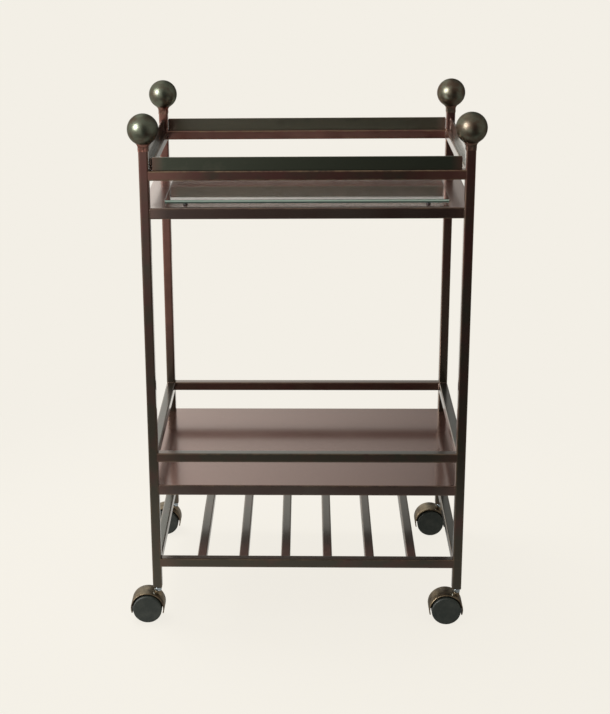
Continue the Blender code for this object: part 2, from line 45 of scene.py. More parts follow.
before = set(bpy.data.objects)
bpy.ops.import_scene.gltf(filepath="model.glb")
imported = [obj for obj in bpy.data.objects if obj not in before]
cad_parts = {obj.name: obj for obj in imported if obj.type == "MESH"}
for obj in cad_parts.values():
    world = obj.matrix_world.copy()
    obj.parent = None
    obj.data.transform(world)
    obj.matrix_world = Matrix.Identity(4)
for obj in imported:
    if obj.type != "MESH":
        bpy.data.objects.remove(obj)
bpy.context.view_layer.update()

SIDES = ("left", "right")
ENDS = ("front", "rear")
CORNERS = [f"{end}_{side}" for end in ENDS for side in SIDES]
RINGS = ("gallery_rail", "guard_rail", "rack_rail")
TIERS = ("upper", "lower")
RUNS = {"front": "X", "rear": "X", "left": "Y", "right": "Y"}
MERGE = 0.000001
MM = 0.001


def linear(code):
    """An sRGB hex colour as linear red, green, blue and alpha."""
    parts = [int(code[i : i + 2], 16) / 255 for i in (0, 2, 4)]
    curve = [p / 12.92 if p <= 0.04045 else ((p + 0.055) / 1.055) ** 2.4 for p in parts]
    return (*curve, 1.0)


def length(name, description, default):
    """A size in metres that the user can change."""
    return FloatProperty(
        name=name,
        description=description,
        default=default,
        unit="LENGTH",
        precision=5,
    )


def colour(name, description, code):
    """A colour that the user can change, from its sRGB hex value."""
    return FloatVectorProperty(
        name=name,
        description=description,
        default=linear(code),
        size=4,
        subtype="COLOR",
    )


class CartSizes(PropertyGroup):
    """Sizes of the fine forms that the frame doesn't give."""

    tube_corner: length("Tube corner", "Outer corner radius of the square tube", 0.0018)
    edge_wear: length("Worn edge", "How far wear reaches in from a tube's corner", 0.0016)
    foot_rounding: length("Foot rounding", "Rounding at the foot of each post", 0.0014)
    tint_reach: length("Weld tint", "How far the red tint of a weld reaches along a tube", 0.045)
    band_edge: length("Band edge", "Rounding of the gallery band's long edges", 0.0006)
    sheet: length("Sheet", "Thickness of the folded shelves", 0.0012)
    fold: length("Fold radius", "Outer radius of the shelves' folds", 0.002)
    ball: length("Ball", "Diameter of the ball finials", 0.0508)
    flare_start: length("Flare start", "Diameter at which the weld leaves the ball", 0.027)
    weld_skirt: length("Weld skirt", "How far the ball's weld runs down the post", 0.0065)
    weld_skin: length("Weld skin", "How far the ball's weld stands proud of the post", 0.0005)
    weld_bead: length("Weld bead", "Radius of the beads at the frame's joints", 0.0011)
    glass_corner: length("Glass corner", "Corner radius of the glass plate", 0.003)
    glass_arris: length("Glass arris", "Polished arris of the glass plate", 0.0007)
    bumper_top: length("Bumper top", "Diameter of the flat on top of a bumper", 0.0056)
    wheel_edge: length("Wheel edge", "Rounding of a wheel's outer rim", 0.0022)
    wheel_dish: length("Wheel dish", "Diameter of the shallow dish in a wheel's face", 0.0404)
    wheel_rim: length("Wheel rim", "Thickness of a wheel's rim on its open side", 0.0028)
    wheel_hub: length("Wheel hub", "Diameter of a wheel's hub", 0.013)
    hood_wall: length("Hood wall", "Thickness of the caster hood", 0.002)
    hood_edge: length("Hood edge", "Rounding of the hood's outer edges", 0.0007)
    hood_spine: length("Hood spine", "Thickness of the spine between the wheels", 0.012)
    boss: length("Boss", "Diameter of the hood's swivel boss", 0.0118)
    boss_drop: length("Boss drop", "From the foot of the post down to the boss", 0.0072)
    collar: length("Collar", "Diameter of the stem's collar", 0.013)
    stem: length("Stem", "Diameter of the stem in the post", 0.008)
    journal: length("Journal", "Diameter of the stem in the boss", 0.0075)
    facets: IntProperty(
        name="Facets",
        description="Sides of the round pieces",
        default=64,
        min=16,
        max=128,
    )


class CartColours(PropertyGroup):
    """Colours of the finishes, seen in plain light."""

    tube_red: colour("Tube brown", "Red-brown body of the aged bronze on the tubes", "65403C")
    tube_dark: colour("Tube dark", "Olive patches on the tubes", "4B463B")
    band_dark: colour("Band green", "Green-black body of the gallery bands", "4E5447")
    # Paler olive patches on the bands. The rear bar is made paler with it all over as painted light
    band_pale: colour("Band pale", "Paler olive of the dusty band at the back", "6E6C5E")
    worn: colour("Worn edge", "Bronze where the finish is rubbed thin", "8E765E")
    # Painted sheen: the cool grey laid on the tubes' faces that look up or down
    dust_and_sheen: colour("Bloom", "Cool grey of the faces that look up", "6C7675")
    # Painted sheen: the colour laid on the shelves' level faces
    sheet_sheen: colour("Sheet bloom", "Pinkish brown of the shelves' flats", "8E6054")
    tint: colour("Weld tint", "Red-brown of the metal beside a weld", "98695E")
    sheet_brown: colour("Sheet brown", "Body of the aged bronze on the shelves", "4B3631")
    sheet_grey: colour("Sheet grey", "Cooler patches on the shelves", "564E47")
    ball_dark: colour("Ball dark", "Green-black body of the balls", "6B7062")
    ball_red: colour("Ball brown", "Brown patches on the balls", "5B4D41")
    hood_olive: colour("Hood olive", "Olive-bronze body of the caster hoods", "8E7F67")
    # Dark streaks on the hoods, also laid in full on their inside faces as painted shade
    hood_streaks_and_shade: colour("Hood dark", "Dark streaks on the caster hoods", "382E25")
    nylon: colour("Nylon", "Dark green-grey of the wheels", "212B26")
    nylon_haze: colour("Nylon haze", "Pale haze and scuffs on the wheels", "5E625B")
    zinc: colour("Zinc", "Bright zinc plating of the stems", "D5DEE4")
    zinc_dull: colour("Zinc, dull", "Dull patches on the plating", "9AA6AE")
    steel: colour("Steel", "Plain steel of the axles", "9A9894")
    steel_dull: colour("Steel, dull", "Dull patches on the axles", "6E6C68")
    rubber: colour("Rubber", "Dark red-brown rubber of the bumpers", "2E1B19")
    rubber_dust: colour("Rubber dust", "Dusty bloom on the bumpers", "4A4240")
    glass: colour("Glass", "Faint tint of the glass plate", "FBFEFD")
    glass_depth: colour("Glass depth", "Green that deepens along the glass", "7CC8BC")
    rim: colour("Glass rim", "Pale teal of the plate's ground rim", "DFF9EF")
    rim_deep: colour("Glass rim, deep", "Deeper teal along the plate's rim", "C2EADC")
    # Painted shade: the dark green laid along the foot of the glass rim
    rim_foot_shade: colour("Glass rim, foot", "Dark green along the foot of the rim", "24493F")
    backdrop: colour("Backdrop", "Pale floor and background", "F3EFE6")
    paper: colour("Paper", "Floor paper, as pale as the backdrop once it is lit", "F9F5EC")


def node(tree, kind, sockets=None, **settings):
    """Adds a shader node. Sockets are values, or the outputs that feed them, by name or number."""
    made = tree.nodes.new(kind)
    for key, value in settings.items():
        setattr(made, key, value)
    for key, value in (sockets or {}).items():
        if isinstance(value, NodeSocket):
            tree.links.new(value, made.inputs[key])
        else:
            made.inputs[key].default_value = value
    return made


def blank_material(name):
    """A material with an empty node tree, and its output node."""
    finish = bpy.data.materials.new(name)
    finish.use_nodes = True
    finish.node_tree.nodes.clear()
    return finish, finish.node_tree, node(finish.node_tree, "ShaderNodeOutputMaterial")


def aged_bronze(name, body, patch, dust_and_sheen, worn, tint, grain):
    """Oil-rubbed bronze over steel: brown metal that clouds over to green-black, is rubbed bright
    on its edges and is tinted red beside its welds. Its level faces, up or down, are made paler
    as a painted sheen. Clear lacquer gives the sharp reflections.

    Attributes say where: the patina share, which in places also lays painted shade, weld_tint
    and wear. grain holds the piece's sizes and shares, as TUBE_GRAIN does."""
    finish, tree, output = blank_material(name)
    place = node(tree, "ShaderNodeTexCoord").outputs["Object"]
    cloud = node(
        tree,
        "ShaderNodeTexNoise",
        {"Vector": place, "Scale": 1 / grain["cloud"], "Detail": 4.0, "Roughness": 0.55},
    )
    # The patina share clouds a finish over, and in places it also carries painted shade
    patina_and_shade_share = node(tree, "ShaderNodeAttribute", attribute_name="patina_and_shade")
    patina_and_shade_cloud = node(
        tree,
        "ShaderNodeMath",
        {0: patina_and_shade_share.outputs["Fac"], 1: 0.35, 2: cloud.outputs["Fac"]},
        operation="MULTIPLY_ADD",
    )
    cloud_mask = node(
        tree,
        "ShaderNodeMapRange",
        {"Value": patina_and_shade_cloud.outputs[0], "From Min": 0.42, "From Max": 0.74},
    )
    clouded = node(
        tree,
        "ShaderNodeMix",
        {0: cloud_mask.outputs[0], 6: body, 7: patch},
        data_type="RGBA",
    )
    # Painted sheen: faces that look up or down are made paler, standing in for the light they reflect
    facing = node(tree, "ShaderNodeNewGeometry").outputs["Normal"]
    upward = node(tree, "ShaderNodeSeparateXYZ", {0: facing})
    level = node(tree, "ShaderNodeMath", {0: upward.outputs["Z"]}, operation="ABSOLUTE")
    dust_and_sheen_mask = node(
        tree,
        "ShaderNodeMapRange",
        {"Value": level.outputs[0], "From Min": 0.75, "From Max": 0.98, "To Max": grain["dust_and_sheen"]},
    )
    # Less of the painted sheen where the patina share is high
    clean = node(
        tree,
        "ShaderNodeMapRange",
        {"Value": patina_and_shade_share.outputs["Fac"], "To Min": 1.0, "To Max": 0.3},
    )
    sheen_share = node(
        tree,
        "ShaderNodeMath",
        {0: dust_and_sheen_mask.outputs[0], 1: clean.outputs[0]},
        operation="MULTIPLY",
    )
    sheened = node(
        tree,
        "ShaderNodeMix",
        {0: sheen_share.outputs[0], 6: clouded.outputs[2], 7: dust_and_sheen},
        data_type="RGBA",
    )
    # Rubbed pits and specks a millimetre or so across, drawn twice as coarse so that they show
    speck = node(
        tree,
        "ShaderNodeTexNoise",
        {"Vector": place, "Scale": 1 / (2.5 * MM), "Detail": 5.0, "Roughness": 0.7},
    )
    speck_mask = node(
        tree,
        "ShaderNodeMapRange",
        {"Value": speck.outputs["Fac"], "From Min": 0.5, "From Max": 0.8, "To Max": grain["specks"]},
    )
    speckled = node(
        tree,
        "ShaderNodeMix",
        {0: speck_mask.outputs[0], 6: sheened.outputs[2], 7: worn},
        data_type="RGBA",
    )
    tint_share = node(tree, "ShaderNodeAttribute", attribute_name="weld_tint")
    tint_mask = node(
        tree,
        "ShaderNodeMath",
        {0: tint_share.outputs["Fac"], 1: cloud.outputs["Fac"]},
        operation="MULTIPLY",
    )
    tinted = node(
        tree,
        "ShaderNodeMix",
        {0: tint_mask.outputs[0], 6: speckled.outputs[2], 7: tint},
        data_type="RGBA",
    )
    # Edge wear comes and goes along a tube in runs of a few centimetres
    runs = node(
        tree,
        "ShaderNodeTexNoise",
        {"Vector": place, "Scale": 1 / (18 * MM), "Detail": 6.0, "Roughness": 0.65},
    )
    run_mask = node(
        tree,
        "ShaderNodeMapRange",
        {
            "Value": runs.outputs["Fac"],
            "From Min": 0.4,
            "From Max": 0.66,
            "To Min": 0.06,
            "To Max": 0.6,
        },
    )
    wear_share = node(tree, "ShaderNodeAttribute", attribute_name="wear")
    wear_mask = node(
        tree,
        "ShaderNodeMath",
        {0: wear_share.outputs["Fac"], 1: run_mask.outputs[0]},
        operation="MULTIPLY",
    )
    coloured = node(
        tree,
        "ShaderNodeMix",
        {0: wear_mask.outputs[0], 6: tinted.outputs[2], 7: worn},
        data_type="RGBA",
    )
    rough = node(
        tree,
        "ShaderNodeMapRange",
        {
            "Value": cloud.outputs["Fac"],
            "From Min": 0.3,
            "From Max": 0.7,
            "To Min": grain["smooth"],
            "To Max": grain["rough"],
        },
    )
    # Two bumps: slow waves of the drawn steel, and the fine skin of the sprayed finish
    waves = node(
        tree,
        "ShaderNodeTexNoise",
        {"Vector": place, "Scale": 1 / grain["wave"], "Detail": 1.0},
    )
    wavy = node(
        tree,
        "ShaderNodeBump",
        {"Height": waves.outputs["Fac"], "Strength": 1.0, "Distance": grain["wave_height"]},
    )
    skin = node(
        tree,
        "ShaderNodeBump",
        {
            "Height": speck.outputs["Fac"],
            "Strength": grain["skin"],
            "Distance": 0.03 * MM,
            "Normal": wavy.outputs["Normal"],
        },
    )
    edge_dark = grain["edge_dark"]
    shader = node(
        tree,
        "ShaderNodeBsdfPrincipled",
        {
            "Base Color": coloured.outputs[2],
            "Metallic": grain["metal"],
            "Roughness": rough.outputs[0],
            "Specular Tint": (edge_dark, edge_dark, edge_dark, 1.0),
            "Normal": skin.outputs["Normal"],
            "Coat Weight": grain["lacquer"],
            "Coat Roughness": grain["lacquer_roughness"],
        },
    )
    tree.links.new(shader.outputs["BSDF"], output.inputs["Surface"])
    return finish


def moulded_nylon(colours):
    """Injection-moulded dark nylon: a fine matt grain, with a pale haze and scuffs on the tread."""
    finish, tree, output = blank_material("moulded_nylon")
    place = node(tree, "ShaderNodeTexCoord").outputs["Object"]
    grain = node(
        tree,
        "ShaderNodeTexNoise",
        {"Vector": place, "Scale": 1 / (0.8 * MM), "Detail": 3.0},
    )
    haze = node(
        tree,
        "ShaderNodeTexNoise",
        {"Vector": place, "Scale": 1 / (14 * MM), "Detail": 3.0},
    )
    haze_mask = node(
        tree,
        "ShaderNodeMapRange",
        {"Value": haze.outputs["Fac"], "From Min": 0.4, "From Max": 0.7, "To Max": 0.25},
    )
    scuff_share = node(tree, "ShaderNodeAttribute", attribute_name="wear")
    scuffed = node(
        tree,
        "ShaderNodeMath",
        {0: scuff_share.outputs["Fac"], 1: grain.outputs["Fac"]},
        operation="MULTIPLY",
    )
    scuff_mask = node(
        tree,
        "ShaderNodeMath",
        {0: scuffed.outputs[0], 1: haze_mask.outputs[0]},
        operation="ADD",
    )
    dulled = node(
        tree,
        "ShaderNodeMix",
        {0: scuff_mask.outputs[0], 6: colours.nylon, 7: colours.nylon_haze},
        data_type="RGBA",
    )
    bump = node(
        tree,
        "ShaderNodeBump",
        {"Height": grain.outputs["Fac"], "Strength": 0.25, "Distance": 0.06 * MM},
    )
    shader = node(
        tree,
        "ShaderNodeBsdfPrincipled",
        {
            "Base Color": dulled.outputs[2],
            "Roughness": 0.5,
            "IOR": 1.53,
            "Normal": bump.outputs["Normal"],
        },
    )
    tree.links.new(shader.outputs["BSDF"], output.inputs["Surface"])
    return finish


def turned_metal(name, tint, dull, roughness):
    """Turned and plated steel: bright metal with faint tool marks round it and dull patches."""
    finish, tree, output = blank_material(name)
    place = node(tree, "ShaderNodeTexCoord").outputs["Object"]
    patches = node(
        tree,
        "ShaderNodeTexNoise",
        {"Vector": place, "Scale": 1 / (5 * MM), "Detail": 3.0},
    )
    toned = node(
        tree,
        "ShaderNodeMix",
        {0: patches.outputs["Fac"], 6: tint, 7: dull},
        data_type="RGBA",
    )
    rings = node(
        tree,
        "ShaderNodeTexWave",
        {"Vector": place, "Scale": 1 / (3 * MM), "Distortion": 0.6, "Detail": 2.0},
        wave_type="BANDS",
        bands_direction="Z",
    )
    bump = node(
        tree,
        "ShaderNodeBump",
        {"Height": rings.outputs["Fac"], "Strength": 0.2, "Distance": 0.04 * MM},
    )
    shader = node(
        tree,
        "ShaderNodeBsdfPrincipled",
        {
            "Base Color": toned.outputs[2],
            "Metallic": 1.0,
            "Roughness": roughness,
            "Normal": bump.outputs["Normal"],
        },
    )
    tree.links.new(shader.outputs["BSDF"], output.inputs["Surface"])
    return finish


def moulded_rubber(colours):
    """Moulded dark red-brown rubber: dull, with a dusty bloom."""
    finish, tree, output = blank_material("moulded_rubber")
    place = node(tree, "ShaderNodeTexCoord").outputs["Object"]
    dust_and_sheen = node(
        tree,
        "ShaderNodeTexNoise",
        {"Vector": place, "Scale": 1 / (1.5 * MM), "Detail": 4.0},
    )
    dust_and_sheen_mask = node(
        tree,
        "ShaderNodeMapRange",
        {"Value": dust_and_sheen.outputs["Fac"], "From Min": 0.45, "From Max": 0.75, "To Max": 0.3},
    )
    dusty = node(
        tree,
        "ShaderNodeMix",
        {0: dust_and_sheen_mask.outputs[0], 6: colours.rubber, 7: colours.rubber_dust},
        data_type="RGBA",
    )
    shader = node(
        tree,
        "ShaderNodeBsdfPrincipled",
        {"Base Color": dusty.outputs[2], "Roughness": 0.55, "IOR": 1.52},
    )
    tree.links.new(shader.outputs["BSDF"], output.inputs["Surface"])
    return finish


def float_glass(colours):
    """Polished float glass: clear face on, green along its depth, with the slow waves of the float
    bath in its reflections."""
    finish, tree, output = blank_material("float_glass")
    place = node(tree, "ShaderNodeTexCoord").outputs["Object"]
    bath = node(
        tree,
        "ShaderNodeTexNoise",
        {"Vector": place, "Scale": 1 / (80 * MM), "Detail": 1.0},
    )
    bump = node(
        tree,
        "ShaderNodeBump",
        {"Height": bath.outputs["Fac"], "Strength": 1.0, "Distance": 0.01 * MM},
    )
    shader = node(
        tree,
        "ShaderNodeBsdfPrincipled",
        {
            "Base Color": colours.glass,
            "Roughness": 0.0,
            "IOR": 1.52,
            "Normal": bump.outputs["Normal"],
            "Transmission Weight": 1.0,
        },
    )
    depth = node(
        tree,
        "ShaderNodeVolumeAbsorption",
        {"Color": colours.glass_depth, "Density": 3.0},
    )
    tree.links.new(shader.outputs["BSDF"], output.inputs["Surface"])
    tree.links.new(depth.outputs["Volume"], output.inputs["Volume"])
    return finish


def ground_glass(colours):
    """The plate's ground and polished rim: milky teal, as float glass is end on."""
    finish, tree, output = blank_material("ground_glass_rim")
    place = node(tree, "ShaderNodeTexCoord").outputs["Object"]
    grind = node(
        tree,
        "ShaderNodeTexNoise",
        {"Vector": place, "Scale": 1 / (9 * MM), "Detail": 3.0},
    )
    toned = node(
        tree,
        "ShaderNodeMix",
        {0: grind.outputs["Fac"], 6: colours.rim, 7: colours.rim_deep},
        data_type="RGBA",
    )
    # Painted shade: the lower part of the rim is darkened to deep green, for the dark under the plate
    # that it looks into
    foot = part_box("glass_plate")[0].z
    height = node(tree, "ShaderNodeSeparateXYZ", {0: place}).outputs["Z"]
    shadow = node(
        tree,
        "ShaderNodeMapRange",
        {
            "Value": height,
            "From Min": foot + 2.3 * MM,
            "From Max": foot + 3.1 * MM,
            "To Min": 0.95,
            "To Max": 0.0,
        },
        interpolation_type="SMOOTHSTEP",
    )
    shaded = node(
        tree,
        "ShaderNodeMix",
        {0: shadow.outputs[0], 6: toned.outputs[2], 7: colours.rim_foot_shade},
        data_type="RGBA",
    )
    shader = node(
        tree,
        "ShaderNodeBsdfPrincipled",
        {"Base Color": shaded.outputs[2], "Roughness": 0.3, "IOR": 1.52},
    )
    tree.links.new(shader.outputs["BSDF"], output.inputs["Surface"])
    return finish


# Sizes in metres: of the clouds, and of the slow waves and their height. The rest are shares.
# No range of roughness crosses 0.274: below it the render's denoiser reads a metal as a mirror,
# and it would draw the line where a finish crosses over as an outline
# In each, the share after edge_dark is the painted sheen of its level faces
TUBE_GRAIN = {
    "cloud": 0.06,
    "wave": 0.03,
    "wave_height": 0.00004,
    "skin": 0.03,
    "specks": 0.09,
    "metal": 1.0,
    "smooth": 0.275,
    "rough": 0.31,
    "edge_dark": 0.82,
    "dust_and_sheen": 0.77,
    "lacquer": 0.8,
    "lacquer_roughness": 0.12,
}
BAND_GRAIN = {
    "cloud": 0.06,
    "wave": 0.05,
    "wave_height": 0.00003,
    "skin": 0.0,
    "specks": 0.03,
    "metal": 1.0,
    "smooth": 0.275,
    "rough": 0.29,
    "edge_dark": 0.82,
    "dust_and_sheen": 0.6,
    "lacquer": 0.8,
    "lacquer_roughness": 0.08,
}
SHEET_GRAIN = {
    "cloud": 0.16,
    "wave": 0.11,
    "wave_height": 0.0003,
    "skin": 0.03,
    "specks": 0.06,
    "metal": 0.8,
    "smooth": 0.21,
    "rough": 0.27,
    "edge_dark": 1.0,
    "dust_and_sheen": 0.66,
    "lacquer": 1.0,
    "lacquer_roughness": 0.13,
}
BALL_GRAIN = {
    "cloud": 0.014,
    "wave": 0.012,
    "wave_height": 0.00003,
    "skin": 0.2,
    "specks": 0.2,
    "metal": 1.0,
    "smooth": 0.3,
    "rough": 0.38,
    "edge_dark": 0.35,
    "dust_and_sheen": 0.1,
    "lacquer": 0.15,
    "lacquer_roughness": 0.1,
}
HOOD_GRAIN = {
    "cloud": 0.016,
    "wave": 0.012,
    "wave_height": 0.00003,
    "skin": 0.1,
    "specks": 0.15,
    "metal": 1.0,
    "smooth": 0.34,
    "rough": 0.46,
    "edge_dark": 0.5,
    "dust_and_sheen": 0.2,
    "lacquer": 0.2,
    "lacquer_roughness": 0.2,
}


def finish_named(name):
    """The finish of this name, made the first time that a piece asks for it."""
    found = bpy.data.materials.get(name)
    if found:
        return found
    colours = bpy.context.scene.cart_colours
    bronzes = {
        "aged_bronze_tube": (colours.tube_red, colours.tube_dark, colours.dust_and_sheen, TUBE_GRAIN),
        "aged_bronze_band": (colours.band_dark, colours.band_pale, colours.dust_and_sheen, BAND_GRAIN),
        "aged_bronze_sheet": (
            colours.sheet_brown,
            colours.sheet_grey,
            colours.sheet_sheen,
            SHEET_GRAIN,
        ),
        "aged_bronze_ball": (colours.ball_dark, colours.ball_red, colours.dust_and_sheen, BALL_GRAIN),
        "aged_bronze_casting": (colours.hood_olive, colours.hood_streaks_and_shade, colours.dust_and_sheen, HOOD_GRAIN),
    }
    if name in bronzes:
        body, patch, dust_and_sheen, grain = bronzes[name]
        return aged_bronze(name, body, patch, dust_and_sheen, colours.worn, colours.tint, grain)
    makers = {
        "moulded_nylon": lambda: moulded_nylon(colours),
        "zinc_plated_steel": lambda: turned_metal(name, colours.zinc, colours.zinc_dull, 0.2),
        "turned_steel": lambda: turned_metal(name, colours.steel, colours.steel_dull, 0.35),
        "moulded_rubber": lambda: moulded_rubber(colours),
        "float_glass": lambda: float_glass(colours),
        "ground_glass_rim": lambda: ground_glass(colours),
    }
    return makers[name]()


def add_piece(name, bm, finish, body, replaced, shades=None, smooth_under=35):
    """Makes the piece's object, paints its shade attributes and puts it on its body.

    shades gives, for each attribute name, a function from a point of the mesh to a share."""
    mesh = bpy.data.meshes.new(name)
    bm.to_mesh(mesh)
    bm.free()
    for attribute, share_at in (shades or {}).items():
        values = mesh.attributes.new(attribute, "FLOAT", "POINT").data
        for vertex in mesh.vertices:
            values[vertex.index].value = share_at(vertex.co)
    mesh.shade_smooth()
    mesh.set_sharp_from_angle(angle=math.radians(smooth_under))
    mesh.materials.append(finish_named(finish))
    piece = bpy.data.objects.new(name, mesh)
    bpy.context.scene.collection.objects.link(piece)
    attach(piece, body)
    if replaced:
        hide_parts(*replaced)
    return piece


def eased(share):
    """A share clamped to 0 to 1, with soft ends."""
    held = min(max(share, 0.0), 1.0)
    return held * held * (3 - 2 * held)


def bevel(bm, edges, offset, segments):
    """Rounds these edges over."""
    bmesh.ops.bevel(
        bm,
        geom=edges,
        offset=offset,
        offset_type="OFFSET",
        segments=segments,
        profile=0.5,
        affect="EDGES",
        material=-1,
    )


def moved_on(bm, edges, matrix):
    """Extrudes a ring of edges by a transform, and gives the new ring."""
    grown = bmesh.ops.extrude_edge_only(bm, edges=edges)["geom"]
    verts = [item for item in grown if isinstance(item, bmesh.types.BMVert)]
    bmesh.ops.transform(bm, matrix=matrix, verts=verts)
    return [item for item in grown if isinstance(item, bmesh.types.BMEdge)]


def closed_up(bm):
    """Fills what is left open, and points every face outwards."""
    rims = [edge for edge in bm.edges if edge.is_boundary]
    if rims:
        bmesh.ops.holes_fill(bm, edges=rims, sides=0)
    bmesh.ops.recalc_face_normals(bm, faces=bm.faces)


def rounded_section(width, height, radius, margin, steps):
    """Points round a rectangle with rounded corners, and one a margin in from each arc's ends."""
    points = []
    for quarter in range(4):
        turn = Matrix.Rotation(quarter * math.pi / 2, 2)
        out, on = turn @ Vector((1, 0)), turn @ Vector((0, 1))
        signs = Vector((out.x + on.x, out.y + on.y))
        centre = Vector((signs.x * (width / 2 - radius), signs.y * (height / 2 - radius)))
        points.append(centre + out * radius - on * margin)
        for step in range(steps + 1):
            angle = math.pi / 2 * step / steps
            points.append(centre + (out * math.cos(angle) + on * math.sin(angle)) * radius)
        points.append(centre + on * radius - out * margin)
    return points


# Each lays a bar's own frame, whose Z runs along the bar, along that axis of the cart
AXIS_FRAMES = {
    "X": Matrix(((0, 0, 1), (1, 0, 0), (0, 1, 0))),
    "Y": Matrix(((1, 0, 0), (0, 0, -1), (0, 1, 0))),
    "Z": Matrix(((1, 0, 0), (0, 1, 0), (0, 0, 1))),
}


def bar_mesh(section, stations, axis, centre):
    """A bar with this section, swept through stations along an axis from a centre."""
    bm = bmesh.new()
    turn = AXIS_FRAMES[axis]
    along = turn @ Vector((0, 0, 1))
    ring = [bm.verts.new(centre + turn @ Vector((p.x, p.y, stations[0]))) for p in section]
    edges = [bm.edges.new(pair) for pair in zip(ring, ring[1:] + ring[:1])]
    for here, there in zip(stations, stations[1:]):
        edges = moved_on(bm, edges, Matrix.Translation(along * (there - here)))
    closed_up(bm)
    return bm


def end_stations(low, high, reach):
    """Places along a bar, closer together where the weld tint fades at its ends."""
    shares = (0.0, 0.15, 0.4, 0.7, 1.0)
    return [low + reach * s for s in shares] + [high - reach * s for s in reversed(shares)]


def edge_wear(axis, centre, width, height, reach):
    """Wear that rises towards a bar's long corners."""
    turn = AXIS_FRAMES[axis].inverted()

    def share_at(point):
        local = turn @ (point - centre)
        inset = max(width / 2 - abs(local.x), height / 2 - abs(local.y))
        return eased(1 - inset / reach)

    return share_at


def end_tint(axis, centre, half_length, reach):
    """Tint that rises towards a bar's welded ends."""
    turn = AXIS_FRAMES[axis].inverted()

    def share_at(point):
        along = (turn @ (point - centre)).z
        return eased(1 - (half_length - abs(along)) / reach)

    return share_at


def arc(centre, radius, start, end, steps):
    """Points (radius from the axis, height) along an arc, angles in degrees from outwards."""
    points = []
    for step in range(steps + 1):
        angle = math.radians(start + (end - start) * step / steps)
        points.append((centre[0] + radius * math.cos(angle), centre[1] + radius * math.sin(angle)))
    return points


def turned(profile, facets, matrix):
    """A solid of revolution from (radius, height) points, turned about Z and put in place."""
    bm = bmesh.new()
    verts = [bm.verts.new((radius, 0, height)) for radius, height in profile]
    edges = [bm.edges.new(pair) for pair in zip(verts, verts[1:])]
    bmesh.ops.spin(
        bm,
        geom=verts + edges,
        cent=(0, 0, 0),
        axis=(0, 0, 1),
        dvec=(0, 0, 0),
        angle=math.tau,
        steps=facets,
        use_merge=True,
        use_duplicate=False,
    )
    bmesh.ops.remove_doubles(bm, verts=bm.verts, dist=MERGE)
    bmesh.ops.transform(bm, matrix=matrix, verts=bm.verts)
    closed_up(bm)
    return bm


def square_tube(
    name,
    axis,
    patina_and_shade,
    weld_tint,
    least_tint=0.0,
    spread=1.0,
    rubbed=1.0,
    on_top=None,
):
    """A rail or slat: square tube with worn corners, run into what it is welded to.

    weld_tint is its tint at the ends, which fades over spread times the usual reach to
    least_tint. rubbed scales the wear of its corners, and on_top is the patina share of its top
    face, which makes that face darker and holds back its painted sheen.
    least_tint. rubbed scales the wear of its corners, and on_top is the patina of its top face."""
    sizes = bpy.context.scene.cart_sizes
    low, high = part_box(name)
    centre = (low + high) / 2
    turned_size = AXIS_FRAMES[axis].inverted() @ (high - low)
    width, height = abs(turned_size.x), abs(turned_size.y)
    half = abs(turned_size.z) / 2 + sizes.tube_corner
    section = rounded_section(width, height, sizes.tube_corner, sizes.edge_wear, 5)
    stations = end_stations(-half, half, sizes.tint_reach * spread)
    bm = bar_mesh(section, stations, axis, centre)
    at_ends = end_tint(axis, centre, half, sizes.tint_reach * spread)
    at_edges = edge_wear(axis, centre, width, height, sizes.tube_corner + sizes.edge_wear)
    top = patina_and_shade if on_top is None else on_top
    shades = {
        "wear": lambda p: rubbed * at_edges(p),
        "weld_tint": lambda p: max(weld_tint * at_ends(p), least_tint),
        "patina_and_shade": lambda p: top if p.z > high.z - MM / 2 else patina_and_shade,
    }
    add_piece(f"{name}_tube", bm, "aged_bronze_tube", "frame", [name], shades)


# Weld tint of each post, at its top and over its whole upper part
POST_TINTS = {
    "front_left": (0.55, 0.0),
    "front_right": (0.3, 0.0),
    "rear_left": (1.2, 1.5),
    "rear_right": (0.4, 0.4),
}


